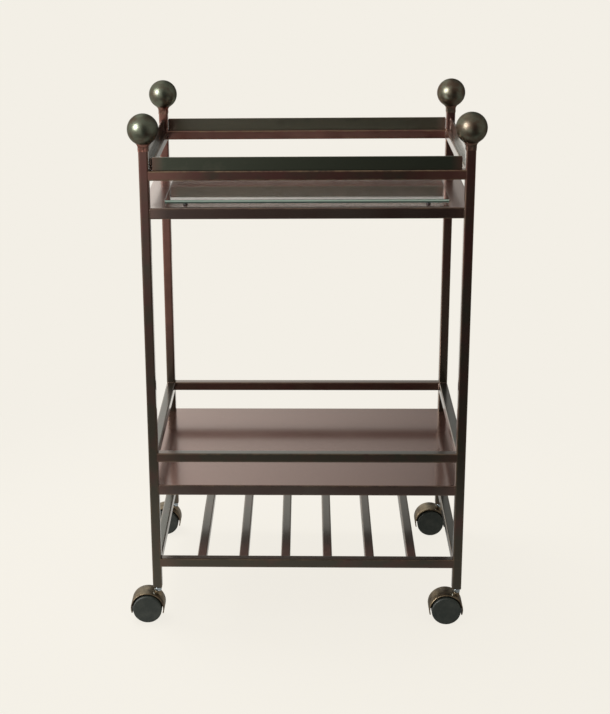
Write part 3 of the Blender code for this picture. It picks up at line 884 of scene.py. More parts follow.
class CART_OT_posts(Operator):
    """Models the four corner posts, rounded at the foot"""

    bl_idname = "cart.posts"
    bl_label = "Corner posts"

    def execute(self, context):
        sizes = context.scene.cart_sizes
        joint_wear = 2.5 * MM
        # The first tint fades below the top, and the second one between two heights
        top_fade = 0.16
        tint_whole, tint_gone = 0.5, 0.3
        # The patina comes in downwards between two heights
        patina_from, patina_whole = 0.72, 0.27
        for corner in CORNERS:
            name = f"post_{corner}"
            low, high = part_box(name)
            centre = Vector(((low.x + high.x) / 2, (low.y + high.y) / 2, low.z))
            width, height = high.x - low.x, high.y - low.y
            rise = high.z - low.z
            section = rounded_section(width, height, sizes.tube_corner, sizes.edge_wear, 5)
            joints = []
            for ring in RINGS:
                rail_low, rail_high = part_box(f"{ring}_front")
                joints += [rail_low.z, rail_high.z]
            for tier in TIERS:
                joints += [face.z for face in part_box(f"{tier}_shelf")]
            steps = [rise * share for share in (0.05, 0.1, 0.2, 0.3, 0.5, 0.7, 0.9, 0.95)]
            steps += [z - low.z + way * joint_wear for z in joints for way in (-1, 0, 1)]
            stations = [0.0, sizes.edge_wear * 2, *sorted(steps), rise]
            bm = bar_mesh(section, stations, "Z", centre)
            foot = [e for e in bm.edges if all(abs(v.co.z - low.z) < MERGE for v in e.verts)]
            bevel(bm, foot, sizes.foot_rounding, 3)
            reach = sizes.tube_corner + sizes.edge_wear
            corner_wear = edge_wear("Z", centre, width, height, reach)
            foot_height = low.z + sizes.foot_rounding

            def wear_at(point, corner_wear=corner_wear, foot_height=foot_height, joints=joints):
                foot_share = 0.7 if point.z < foot_height else 0.0
                off_joint = min(abs(point.z - z) for z in joints)
                joint_share = 0.12 * eased(1 - off_joint / joint_wear)
                return max(corner_wear(point), foot_share, joint_share)

            def tint_at(point, top=high.z, tints=POST_TINTS[corner]):
                at_top, above = tints
                return max(
                    at_top * eased(1 - (top - point.z) / top_fade),
                    above * eased((point.z - tint_gone) / (tint_whole - tint_gone)),
                )

            def patina_and_shade_at(point):
                return 0.8 * eased((patina_from - point.z) / (patina_from - patina_whole))

            shades = {"wear": wear_at, "weld_tint": tint_at, "patina_and_shade": patina_and_shade_at}
            add_piece(f"{name}_tube", bm, "aged_bronze_tube", "frame", [name], shades)
        return {"FINISHED"}


class CART_OT_rails(Operator):
    """Models the twelve rails of the gallery, the guard rail and the bottle rack"""

    bl_idname = "cart.rails"
    bl_label = "Rails"

    def execute(self, context):
        # What all four rails of a ring share, and what the front, rear and side ones add
        rings = {
            "gallery_rail": {
                # The gallery rails' top faces are made darker, with little of the painted sheen
                "all": {"patina_and_shade": 0.1, "weld_tint": 1.5, "rubbed": 2.6, "on_top": 1.0},
                "front": {"spread": 2.2},
                "rear": {"spread": 2.2, "least_tint": 1.3},
                "side": {},
            },
            "guard_rail": {
                "all": {"weld_tint": 0.5},
                "front": {"patina_and_shade": 0.7},
                "rear": {"patina_and_shade": 0.4, "least_tint": 0.5},
                "side": {"patina_and_shade": 0.4},
            },
            "rack_rail": {
                "all": {"patina_and_shade": 0.7, "weld_tint": 0.35},
                "front": {},
                "rear": {"least_tint": 0.3},
                "side": {},
            },
        }
        for ring, looks in rings.items():
            for where, axis in RUNS.items():
                own = looks["side"] if where in SIDES else looks[where]
                square_tube(f"{ring}_{where}", axis, **looks["all"], **own)
        return {"FINISHED"}


class CART_OT_slats(Operator):
    """Models the slats of the bottle rack"""

    bl_idname = "cart.slats"
    bl_label = "Rack slats"

    def execute(self, context):
        for name in sorted(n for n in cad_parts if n.startswith("rack_slat")):
            square_tube(name, "Y", patina_and_shade=0.75, weld_tint=0.9, least_tint=0.1, spread=2.0)
        return {"FINISHED"}


class CART_OT_bands(Operator):
    """Models the flat bars that stand on the gallery rails"""

    bl_idname = "cart.bands"
    bl_label = "Gallery bands"

    def execute(self, context):
        sizes = context.scene.cart_sizes
        # Painted shade darkens the front bar towards its right end, where the light falls off, and
        # painted light makes the rear one paler
        right_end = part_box("gallery_band_front")[1].x
        band_tones = {"front": lambda p: -1.4 * max(p.x / right_end, 0.0), "rear": lambda p: 0.9}
        for where, axis in RUNS.items():
            name = f"gallery_band_{where}"
            low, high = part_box(name)
            low = Vector((low.x, low.y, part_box(f"gallery_rail_{where}")[1].z - sizes.band_edge))
            centre = (low + high) / 2
            size = AXIS_FRAMES[axis].inverted() @ (high - low)
            width, height, half = abs(size.x), abs(size.y), abs(size.z) / 2
            margin = sizes.band_edge
            section = rounded_section(width, height, sizes.band_edge, margin, 3)
            bm = bar_mesh(section, end_stations(-half, half, sizes.tint_reach), axis, centre)
            shades = {
                "wear": edge_wear(axis, centre, width, height, sizes.band_edge + margin),
                "weld_tint": end_tint(axis, centre, half, sizes.tint_reach / 3),
                "patina_and_shade": band_tones.get(where, lambda p: 0.0),
            }
            add_piece(f"{name}_bar", bm, "aged_bronze_band", "frame", [name], shades)
        return {"FINISHED"}


class CART_OT_finials(Operator):
    """Models the ball finials, with the weld that flares down onto each post"""

    bl_idname = "cart.finials"
    bl_label = "Ball finials"

    def execute(self, context):
        sizes = context.scene.cart_sizes
        radius = sizes.ball / 2
        flare = sizes.flare_start / 2
        flare_angle = math.degrees(math.acos(flare / radius))
        flare_top = -math.sqrt(radius**2 - flare**2)
        flare_shares = [step / 10 for step in range(1, 11)]
        # The share of the weld's height in which it narrows to the post, and how steeply
        narrowed_share, steepness = 0.62, 2.2
        lump_width, lump_height = 4 * MM, 0.35 * MM
        tint_fade, foot_wear = 3.5 * MM, 1.2 * MM
        for corner in CORNERS:
            name = f"finial_ball_{corner}"
            post_low, post_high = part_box(f"post_{corner}")
            centre = (post_low + post_high) / 2
            centre.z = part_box(name)[1].z - radius
            skirt_bottom = post_high.z - sizes.weld_skirt - centre.z
            half_side = (post_high.x - post_low.x) / 2 + sizes.weld_skin
            inside = half_side - 2 * sizes.weld_skin
            profile = arc((0, 0), radius, 90, -flare_angle, 40)
            profile[0] = (0, radius)
            profile += [
                (flare, flare_top + (skirt_bottom - flare_top) * share) for share in flare_shares
            ]
            profile += [(inside, skirt_bottom - MERGE * 2), (0, skirt_bottom - MERGE * 2)]
            bm = turned(profile, sizes.facets, Matrix.Identity(4))
            # The weld narrows from the ball's round neck to the post's square side, with lumps
            for vert in bm.verts:
                if vert.co.z > flare_top - MERGE or vert.co.xy.length < flare / 2:
                    continue
                share = (flare_top - vert.co.z) / (flare_top - skirt_bottom)
                way = vert.co.xy.normalized()
                flat = half_side / max(abs(way.x), abs(way.y))
                square = min(flat, half_side * math.sqrt(2) - sizes.tube_corner * 0.5)
                within = vert.co.xy.length < flare - MERGE
                reach = square - 2 * sizes.weld_skin if within else square
                still_wide = 1 - min(share / narrowed_share, 1.0)
                narrowing = 1.0 if within else 1 - still_wide**steepness
                lump = noise.noise((vert.co + centre) / lump_width) * lump_height * min(share * 3, 1.0)
                vert.co.xy = way * (flare + (reach - flare) * narrowing + lump)
            bmesh.ops.translate(bm, verts=bm.verts, vec=centre)
            # The right-hand balls get less weld tint and more brown patches: partly real, partly
            # painted shade, as the light falls off to the right
            most_tint, patina_and_shade = (0.6, 0.35) if "right" in corner else (1.9, 0.0)

            def tint_at(point, neck=centre.z + flare_top, most_tint=most_tint):
                return most_tint * eased((neck + MM - point.z) / tint_fade)

            def wear_at(point, bottom=centre.z + skirt_bottom):
                return 0.8 * eased(1 - (point.z - bottom) / foot_wear)

            shades = {
                "weld_tint": tint_at,
                "wear": wear_at,
                "patina_and_shade": lambda p, share=patina_and_shade: share,
            }
            add_piece(
                f"{name}_shell",
                bm,
                "aged_bronze_ball",
                "frame",
                [name],
                shades,
                smooth_under=60,
            )
        return {"FINISHED"}


class CART_OT_shelves(Operator):
    """Models the two folded shelves, notched at the corners for the posts"""

    bl_idname = "cart.shelves"
    bl_label = "Shelves"

    def execute(self, context):
        sizes = context.scene.cart_sizes
        post_gap = 0.1 * MM
        fold_wear, hem_wear = 3.5 * MM, 2 * MM
        below_fold = 4 * MM
        inner_cut = 12 * MM
        for tier in TIERS:
            name = f"{tier}_shelf"
            low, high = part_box(name)
            centre = Vector(((low.x + high.x) / 2, (low.y + high.y) / 2, high.z))
            half_x, half_y = (high.x - low.x) / 2, (high.y - low.y) / 2
            post_low, post_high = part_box("post_front_right")
            notch_x = post_low.x - centre.x - post_gap
            notch_y = centre.y - post_high.y - post_gap
            bm = bmesh.new()
            outline = []
            for x_sign, y_sign in ((1, 1), (-1, 1), (-1, -1), (1, -1)):
                corner = [(half_x, notch_y), (notch_x, notch_y), (notch_x, half_y)]
                if x_sign != y_sign:
                    corner.reverse()
                outline += [bm.verts.new((x_sign * x, y_sign * y, 0)) for x, y in corner]
            bm.faces.new(outline)
            folds = [
                edge
                for edge in bm.edges
                if all(abs(v.co.x) > half_x - MERGE for v in edge.verts)
                or all(abs(v.co.y) > half_y - MERGE for v in edge.verts)
            ]
            skirt = bmesh.ops.extrude_edge_only(bm, edges=folds)["geom"]
            hem = [item for item in skirt if isinstance(item, bmesh.types.BMVert)]
            bmesh.ops.translate(bm, verts=hem, vec=(0, 0, low.z - high.z))
            bevel(bm, folds, sizes.fold, 6)
            # Cuts beside the folds, the hem and the posts hold the edge wear and the weld tint in
            heights = (-fold_wear, low.z - high.z + hem_wear)
            cuts = [((0, 0, height), (0, 0, 1)) for height in heights]
            for inset in (fold_wear, inner_cut, sizes.tint_reach):
                for sign in (1, -1):
                    cuts.append(((sign * (half_x - inset), 0, 0), (1, 0, 0)))
                    cuts.append(((0, sign * (half_y - inset), 0), (0, 1, 0)))
            for place, normal in cuts:
                bmesh.ops.bisect_plane(
                    bm,
                    geom=bm.verts[:] + bm.edges[:] + bm.faces[:],
                    dist=MERGE,
                    plane_co=place,
                    plane_no=normal,
                )
            bmesh.ops.recalc_face_normals(bm, faces=bm.faces)
            top = max(bm.faces, key=lambda face: face.calc_area())
            if top.normal.z < 0:
                bmesh.ops.reverse_faces(bm, faces=bm.faces)
            bmesh.ops.translate(bm, verts=bm.verts, vec=centre)
            hem_height = low.z

            def wear_at(point, centre=centre, half_x=half_x, half_y=half_y, hem_height=hem_height):
                to_fold = min(half_x - abs(point.x - centre.x), half_y - abs(point.y - centre.y))
                down = centre.z - point.z
                fold_share = eased(1 - max(to_fold, down) / fold_wear)
                hem_share = eased(1 - (point.z - hem_height) / hem_wear) if down > below_fold else 0.0
                return max(fold_share, hem_share)

            def tint_at(point, centre=centre, half_x=half_x):
                beside = half_x - abs(point.x - centre.x)
                return 0.6 * eased(1 - beside / sizes.tint_reach)

            piece = add_piece(
                f"{name}_sheet",
                bm,
                "aged_bronze_sheet",
                "frame",
                [name],
                {"wear": wear_at, "weld_tint": tint_at},
                smooth_under=30,
            )
            wall = piece.modifiers.new("sheet", "SOLIDIFY")
            wall.thickness = sizes.sheet
            wall.offset = -1
            wall.use_even_offset = True
            flats = piece.modifiers.new("flats", "WEIGHTED_NORMAL")
            flats.keep_sharp = True
        return {"FINISHED"}


class CART_OT_glass(Operator):
    """Models the loose glass plate"""

    bl_idname = "cart.glass"
    bl_label = "Glass plate"

    def execute(self, context):
        sizes = context.scene.cart_sizes
        low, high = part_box("glass_plate")
        bm = bmesh.new()
        grow = Matrix.Diagonal((*(high - low), 1))
        bmesh.ops.create_cube(bm, size=1, matrix=Matrix.Translation((low + high) / 2) @ grow)
        uprights = [e for e in bm.edges if abs(e.verts[0].co.z - e.verts[1].co.z) > MERGE]
        bevel(bm, uprights, sizes.glass_corner, 6)
        rims = [e for e in bm.edges if abs(e.verts[0].co.z - e.verts[1].co.z) < MERGE]
        bevel(bm, rims, sizes.glass_arris, 2)
        closed_up(bm)
        # The upright faces are the ground rim, which is the piece's second finish
        for face in bm.faces:
            face.material_index = 1 if abs(face.normal.z) < 0.1 else 0
        pane = add_piece(
            "glass_plate_pane",
            bm,
            "float_glass",
            "glass",
            ["glass_plate"],
            smooth_under=20,
        )
        pane.data.materials.append(finish_named("ground_glass_rim"))
        return {"FINISHED"}


class CART_OT_bumpers(Operator):
    """Models the rubber bumpers under the glass"""

    bl_idname = "cart.bumpers"
    bl_label = "Bumpers"

    def execute(self, context):
        sizes = context.scene.cart_sizes
        for corner in CORNERS:
            name = f"bumper_{corner}"
            low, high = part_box(name)
            foot = (high.x - low.x) / 2
            crown = sizes.bumper_top / 2
            rise = high.z - low.z
            profile = [(0, rise), (crown, rise)] + arc((crown, 0), foot - crown, 90, 0, 5)
            profile[2:] = [(r, z * rise / (foot - crown)) for r, z in profile[2:]]
            profile += [(0, 0)]
            place = Matrix.Translation(((low.x + high.x) / 2, (low.y + high.y) / 2, low.z))
            bm = turned(profile, sizes.facets // 2, place)
            add_piece(f"{name}_dome", bm, "moulded_rubber", "frame", [name])
        return {"FINISHED"}


class CART_OT_stems(Operator):
    """Models the plated caster stems, with the bright collar between post and caster"""

    bl_idname = "cart.stems"
    bl_label = "Caster stems"

    def execute(self, context):
        sizes = context.scene.cart_sizes
        shank, collar, journal = sizes.stem / 2, sizes.collar / 2, sizes.journal / 2
        edge, gap = 0.8 * MM, 0.2 * MM
        for corner in CORNERS:
            name = f"caster_stem_{corner}"
            low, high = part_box(name)
            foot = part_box(f"post_{corner}")[0].z
            top = foot - gap
            bottom = foot - sizes.boss_drop + gap
            waist = (top + bottom) / 2
            profile = [(0, high.z), (shank - edge, high.z), (shank, high.z - edge), (shank, top)]
            profile += arc((collar - edge, top - edge), edge, 90, 0, 4)
            profile += [(collar, waist + edge / 2), (collar - edge, waist), (collar, waist - edge / 2)]
            profile += arc((collar - edge, bottom + edge), edge, 0, -90, 4)
            profile += [(journal, bottom), (journal, low.z + edge / 2)]
            profile += [(journal - edge / 2, low.z), (0, low.z)]
            place = Matrix.Translation(((low.x + high.x) / 2, (low.y + high.y) / 2, 0))
            bm = turned(profile, sizes.facets // 2, place)
            add_piece(f"{name}_turning", bm, "zinc_plated_steel", "frame", [name])
        return {"FINISHED"}


ARCH_STEPS = 48


def hood_arch(outer, wall, half_width, edge, skirt_angle):
    """The hood's curved sheet with rounded edges, swept over the wheels from tip to tip."""
    inner = outer - wall
    skirt_turns = [skirt_angle / 4] * 4
    turns = skirt_turns + [math.pi / ARCH_STEPS] * ARCH_STEPS + skirt_turns
    section = [(inner, -half_width), (outer - edge, -half_width)]
    section += [
        (outer - edge + edge * math.sin(a), -half_width + edge - edge * math.cos(a))
        for a in (math.pi / 6, math.pi / 3, math.pi / 2)
    ]
    section += [(radius, -y) for radius, y in reversed(section)]
    bm = bmesh.new()
    ring = [bm.verts.new((radius, y, 0)) for radius, y in section]
    edges = [bm.edges.new(pair) for pair in zip(ring, ring[1:] + ring[:1])]
    bmesh.ops.rotate(bm, verts=ring, cent=(0, 0, 0), matrix=Matrix.Rotation(skirt_angle, 3, "Y"))
    for turn in turns:
        edges = moved_on(bm, edges, Matrix.Rotation(-turn, 4, "Y"))
    closed_up(bm)
    return bm


def joined(base, steps):
    """A base bmesh with other closed bmeshes added to it or cut from it, as one clean bmesh."""
    helpers = []
    for index, part in enumerate([base] + [tool for _, tool in steps]):
        mesh = bpy.data.meshes.new(f"helper_{index}")
        part.to_mesh(mesh)
        part.free()
        helper = bpy.data.objects.new(f"helper_{index}", mesh)
        bpy.context.scene.collection.objects.link(helper)
        helpers.append(helper)
    for (operation, _), tool in zip(steps, helpers[1:]):
        change = helpers[0].modifiers.new(operation.lower(), "BOOLEAN")
        change.operation = operation
        change.solver = "EXACT"
        change.object = tool
    bpy.context.view_layer.update()
    graph = bpy.context.evaluated_depsgraph_get()
    bm = bmesh.new()
    bm.from_object(helpers[0], graph)
    for helper in helpers:
        mesh = helper.data
        bpy.data.objects.remove(helper, do_unlink=True)
        bpy.data.meshes.remove(mesh)
    return bm


class CART_OT_hoods(Operator):
    """Models the caster hoods: arched shell, spine between the wheels and swivel boss"""

    bl_idname = "cart.hoods"
    bl_label = "Caster hoods"

    def execute(self, context):
        sizes = context.scene.cart_sizes
        boss_facets = 40
        boss_edge = 0.7 * MM
        running_gap, end_gap = 0.3 * MM, MM
        overrun = MM
        heel = 8 * MM
        tip_wear = 4 * MM
        for corner in CORNERS:
            name = f"caster_hood_{corner}"
            low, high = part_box(name)
            wheel_low, wheel_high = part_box(f"wheel_{corner}_front")
            axle_height = (wheel_low.z + wheel_high.z) / 2
            axle = Vector(((low.x + high.x) / 2, (low.y + high.y) / 2, axle_height))
            outer = (high.x - low.x) / 2
            skirt_angle = math.asin((axle.z - low.z) / outer)
            half_width = (high.y - low.y) / 2
            shell = hood_arch(outer, sizes.hood_wall, half_width, sizes.hood_edge, skirt_angle)
            mid = outer - sizes.hood_wall / 2
            spine = bmesh.new()
            outline = arc((0, 0), mid, 0, 180, ARCH_STEPS)
            outline += [(-heel, -heel), (heel, -heel)]
            side = [spine.verts.new((x, -sizes.hood_spine / 2, z)) for x, z in outline]
            grown = bmesh.ops.extrude_face_region(spine, geom=[spine.faces.new(side)])["geom"]
            lifted = [item for item in grown if isinstance(item, bmesh.types.BMVert)]
            bmesh.ops.translate(spine, verts=lifted, vec=(0, sizes.hood_spine, 0))
            bmesh.ops.recalc_face_normals(spine, faces=spine.faces)
            stem_low, stem_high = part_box(f"caster_stem_{corner}")
            swivel = (stem_low + stem_high) / 2 - axle
            boss_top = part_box(f"post_{corner}")[0].z - sizes.boss_drop - axle.z
            boss_radius = sizes.boss / 2
            shoulder = boss_radius - boss_edge
            upright = Matrix.Translation((swivel.x, swivel.y, 0))
            boss_profile = [(0, boss_top), (shoulder, boss_top)]
            boss_profile += arc((shoulder, boss_top - boss_edge), boss_edge, 90, 0, 3)[1:]
            boss_profile += [(boss_radius, 0), (0, 0)]
            boss = turned(boss_profile, boss_facets, upright)
            well_radius = sizes.journal / 2 + running_gap
            well_top = boss_top + overrun
            well_floor = stem_low.z - axle.z - end_gap
            well_profile = [(0, well_top), (well_radius, well_top)]
            well_profile += [(well_radius, well_floor), (0, well_floor)]
            well = turned(well_profile, sizes.facets // 2, upright)
            bm = joined(shell, [("UNION", spine), ("UNION", boss), ("DIFFERENCE", well)])
            bmesh.ops.translate(bm, verts=bm.verts, vec=axle)

            def wear_at(point, axle=axle, outer=outer, half_width=half_width, edge=sizes.hood_edge):
                reach = (point - axle).xz.length
                beside = half_width - abs(point.y - axle.y)
                rim = eased(1 - beside / (1.2 * edge)) if reach > outer - 1.5 * edge else 0.0
                tip = eased((axle.z - tip_wear - point.z) / tip_wear)
                return 0.3 * max(rim, tip)

            # Painted shade: the hood's inside faces take the dark streak colour in full, for the shade
            # between hood and wheels
            def patina_and_shade_at(point, axle=axle, inner=outer - sizes.hood_wall):
                inside = (point - axle).xz.length < inner + 0.2 * MM
                return 1.0 if inside and point.z < axle.z + inner else 0.0

            add_piece(
                f"{name}_casting",
                bm,
                "aged_bronze_casting",
                f"caster_{corner}",
                [name],
                {"wear": wear_at, "patina_and_shade": patina_and_shade_at},
                smooth_under=32,
            )
        return {"FINISHED"}


class CART_OT_wheels(Operator):
    """Models the caster wheels, with a shallow dish outside and open towards the spine"""

    bl_idname = "cart.wheels"
    bl_label = "Caster wheels"

    def execute(self, context):
        sizes = context.scene.cart_sizes
        edge, groove = sizes.wheel_edge, 0.5 * MM
        hub, bore = sizes.wheel_hub / 2, 3.2 * MM
        web = 2.5 * MM
        dish, dish_slope = sizes.wheel_dish / 2, 3 * MM
        # The dish's depth at its floor, halfway up its slope and at its lip
        floor_depth, slope_depth, lip_depth = 0.3 * MM, 0.22 * MM, 0.08 * MM
        tread_depth = 0.3 * MM
        for corner in CORNERS:
            for end in ENDS:
                name = f"wheel_{corner}_{end}"
                low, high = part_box(name)
                centre = (low + high) / 2
                radius = (high.z - low.z) / 2
                rim = radius - sizes.wheel_rim
                wide = high.y - low.y
                back = wide - web
                outwards = -1 if end == "front" else 1
                profile = [(0, wide - floor_depth), (dish - dish_slope, wide - floor_depth)]
                profile += [(dish - dish_slope / 2, wide - slope_depth), (dish, wide - lip_depth)]
                profile += arc((radius - edge, wide - edge), edge, 90, 0, 8)
                profile += arc((radius - groove, groove), groove, 0, -90, 3)
                profile += [(rim, 0), (rim, back), (hub, back), (hub, groove), (hub - groove, 0)]
                profile += [(bore, 0), (bore, back), (0, back)]
                turn = Matrix.Rotation(-math.pi / 2 * outwards, 4, "X")
                inner_face = low.y if outwards > 0 else high.y
                place = Matrix.Translation((centre.x, inner_face, centre.z))
                bm = turned(profile, sizes.facets, place @ turn)

                def wear_at(point, centre=centre, radius=radius):
                    tread = (point - centre).xz.length > radius - tread_depth
                    return 0.5 if tread else 0.0

                add_piece(
                    f"{name}_moulding",
                    bm,
                    "moulded_nylon",
                    f"caster_{corner}_{end}_wheel",
                    [name],
                    {"wear": wear_at},
                    smooth_under=40,
                )
        return {"FINISHED"}


class CART_OT_axles(Operator):
    """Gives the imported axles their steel"""

    bl_idname = "cart.axles"
    bl_label = "Caster axles"

    def execute(self, context):
        for corner in CORNERS:
            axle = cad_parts[f"caster_axle_{corner}"]
            axle.data.materials.clear()
            axle.data.materials.append(finish_named("turned_steel"))
        return {"FINISHED"}


def bead(bm, start, end, radius):
    """A rippled and lumpy weld bead from start to end, pointed at both."""
    ripple, lump = 1.3 * MM, 3 * MM
    tip = 0.3
    start, end = Vector(start), Vector(end)
    run = end - start
    turn = run.to_track_quat("Z", "Y").to_matrix().to_4x4()
    steps = max(int(run.length / ripple), 4)
    ring = bmesh.ops.create_circle(
        bm,
        segments=8,
        radius=radius * tip,
        matrix=Matrix.Translation(start) @ turn,
    )["verts"]
    edges = [edge for vert in ring for edge in vert.link_edges if edge.verts[0] == vert]
    before = tip
    for step in range(1, steps + 1):
        last = start + run * (step - 1) / steps
        centre = start + run * step / steps
        swell = 0.78 + 0.22 * math.sin(step * 2.1) + 0.2 * noise.noise(centre / lump)
        now = tip if step == steps else swell
        grow = Matrix.Translation(centre) @ Matrix.Scale(now / before, 4) @ Matrix.Translation(-last)
        edges = moved_on(bm, edges, grow)
        before = now
    rims = [edge for edge in bm.edges if edge.is_boundary]
    bmesh.ops.holes_fill(bm, edges=rims, sides=0)


class CART_OT_welds(Operator):
    """Models the weld beads at the frame's joints"""

    bl_idname = "cart.welds"
    bl_label = "Welds"

    def execute(self, context):
        sizes = context.scene.cart_sizes
        radius = sizes.weld_bead
        shelf_radius, side_radius = radius * 0.9, radius * 1.8
        # How far level beads stop short of a tube's two sides, upright ones of its top and foot,
        # and others of a shelf's hem or a band's top
        low_gap, high_gap, upright_gap, edge_gap = 3 * MM, 1.5 * MM, 2 * MM, MM
        # How far the beads at the shelves' corners are set in from the skirt's face
        sunk = 0.4 * MM
        bm = bmesh.new()
        for ring in RINGS:
            for end in ENDS:
                low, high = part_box(f"{ring}_{end}")
                inner_y = high.y if end == "front" else low.y
                foot, top = low.z + upright_gap, high.z - upright_gap
                for x in (low.x, high.x):
                    for z in (low.z, high.z):
                        bead(bm, (x, low.y + low_gap, z), (x, high.y - high_gap, z), radius)
                    bead(bm, (x, inner_y, foot), (x, inner_y, top), radius)
            for side in SIDES:
                low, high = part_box(f"{ring}_{side}")
                inner_x = high.x if side == "left" else low.x
                foot, top = low.z + upright_gap, high.z - upright_gap
                for y in (low.y, high.y):
                    for z in (low.z, high.z):
                        bead(bm, (low.x + low_gap, y, z), (high.x - high_gap, y, z), radius)
                    bead(bm, (inner_x, y, foot), (inner_x, y, top), radius)
        for tier in TIERS:
            low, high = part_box(f"{tier}_shelf")
            foot, top = low.z + edge_gap, high.z - upright_gap
            for corner in CORNERS:
                post_low, post_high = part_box(f"post_{corner}")
                x = post_high.x if "left" in corner else post_low.x
                y = low.y + sunk if "front" in corner else high.y - sunk
                bead(bm, (x, y, foot), (x, y, top), shelf_radius)
                x = low.x + sunk if "left" in corner else high.x - sunk
                y = post_high.y if "front" in corner else post_low.y
                bead(bm, (x, y, foot), (x, y, top), shelf_radius)
        for end in ENDS:
            low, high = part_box(f"gallery_band_{end}")
            rail_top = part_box(f"gallery_rail_{end}")[1].z
            inner_y = high.y if end == "front" else low.y
            for x in (low.x, high.x):
                bead(bm, (x, inner_y, rail_top), (x, inner_y, high.z - edge_gap), radius)
        # The front band's left end is welded across to its post, and the weld runs into both
        low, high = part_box("gallery_band_front")
        gap_middle = (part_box("post_front_left")[1].x + low.x) / 2
        rail_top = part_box("gallery_rail_front")[1].z
        filling = (low.x - gap_middle) * 1.05
        bead(bm, (gap_middle, high.y, rail_top), (gap_middle, high.y, high.z - edge_gap), filling)
        for side in SIDES:
            low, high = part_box(f"gallery_band_{side}")
            rail_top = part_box(f"gallery_rail_{side}")[1].z
            inner_x = high.x if side == "left" else low.x
            for y in (low.y, high.y):
                bead(bm, (inner_x, y, rail_top), (inner_x, y, high.z - edge_gap), side_radius)
        bmesh.ops.recalc_face_normals(bm, faces=bm.faces)
        add_piece(
            "frame_weld_beads",
            bm,
            "aged_bronze_tube",
            "frame",
            [],
            {"weld_tint": lambda p: 0.3, "wear": lambda p: 0.15, "patina_and_shade": lambda p: 0.6},
            smooth_under=60,
        )
        return {"FINISHED"}


# Diffuse light from all round, as a share of the backdrop's brightness
AMBIENT_LEVEL = 0.55
# The key softbox: its light in watts a square metre, and the way towards it
KEY_IRRADIANCE = 3.6
KEY_ANGLE = math.radians(34)
KEY_WAY = (-0.73, -0.567, 0.374)
# The overhead softbox, in watts and metres
OVERHEAD_WATTS = 12.0
OVERHEAD_SIZE = 0.9
OVERHEAD_PLACE = (-0.75, 0.4, 1.75)
OVERHEAD_AIM = (-0.05, 0, 0.35)
FLOOR_RADIUS = 2.4


def studio_world(colours):
    """A pale backdrop behind the cart and a dimmer room in front of it, brighter on the left."""
    world = bpy.data.worlds.new("studio")
    world.use_nodes = True
    tree = world.node_tree
    tree.nodes.clear()
    ray = node(tree, "ShaderNodeLightPath")
    way = node(tree, "ShaderNodeTexCoord").outputs["Generated"]
    parts = node(tree, "ShaderNodeSeparateXYZ", {0: way})
    sideways, backwards = parts.outputs["X"], parts.outputs["Y"]
    # What polished metal sees in front: nearly black on the right, brighter on the left
    across = node(
        tree,
        "ShaderNodeMapRange",
        {"Value": sideways, "From Min": -0.14, "From Max": 0.1, "To Min": 1.0, "To Max": 0.0},
    )
    steep = node(tree, "ShaderNodeMath", {0: across.outputs[0], 1: 3.0}, operation="POWER")
    front = node(
        tree,
        "ShaderNodeMapRange",
        {"Value": steep.outputs[0], "To Min": 0.05, "To Max": 0.9},
    )
    # And at its sides and behind it
    side = node(
        tree,
        "ShaderNodeMapRange",
        {"Value": sideways, "From Min": -0.4, "From Max": 0.4, "To Min": 0.85, "To Max": 0.45},
    )
    back = node(
        tree,
        "ShaderNodeMapRange",
        {"Value": sideways, "From Min": -0.16, "From Max": 0.13, "To Min": 1.28, "To Max": 0.3},
    )
    beside = node(
        tree,
        "ShaderNodeMapRange",
        {"Value": backwards, "From Min": -0.94, "From Max": -0.55},
        interpolation_type="SMOOTHSTEP",
    )
    behind = node(
        tree,
        "ShaderNodeMapRange",
        {"Value": backwards, "From Min": -0.1, "From Max": 0.7},
        interpolation_type="SMOOTHSTEP",
    )
    nearer = node(
        tree,
        "ShaderNodeMix",
        {0: beside.outputs[0], 2: front.outputs[0], 3: side.outputs[0]},
        data_type="FLOAT",
    )
    mirrored = node(
        tree,
        "ShaderNodeMix",
        {0: behind.outputs[0], 2: nearer.outputs[0], 3: back.outputs[0]},
        data_type="FLOAT",
    )
    level = node(
        tree,
        "ShaderNodeMix",
        {0: ray.outputs["Is Glossy Ray"], 2: AMBIENT_LEVEL, 3: mirrored.outputs[0]},
        data_type="FLOAT",
    )
    direct = node(
        tree,
        "ShaderNodeMath",
        {0: ray.outputs["Is Camera Ray"], 1: ray.outputs["Is Transmission Ray"]},
        operation="MAXIMUM",
    )
    strength = node(
        tree,
        "ShaderNodeMix",
        {0: direct.outputs[0], 2: level.outputs[0], 3: 1.0},
        data_type="FLOAT",
    )
    backdrop = node(
        tree,
        "ShaderNodeBackground",
        {"Color": colours.backdrop, "Strength": strength.outputs[0]},
    )
    output = node(tree, "ShaderNodeOutputWorld")
    tree.links.new(backdrop.outputs[0], output.inputs["Surface"])
    return world


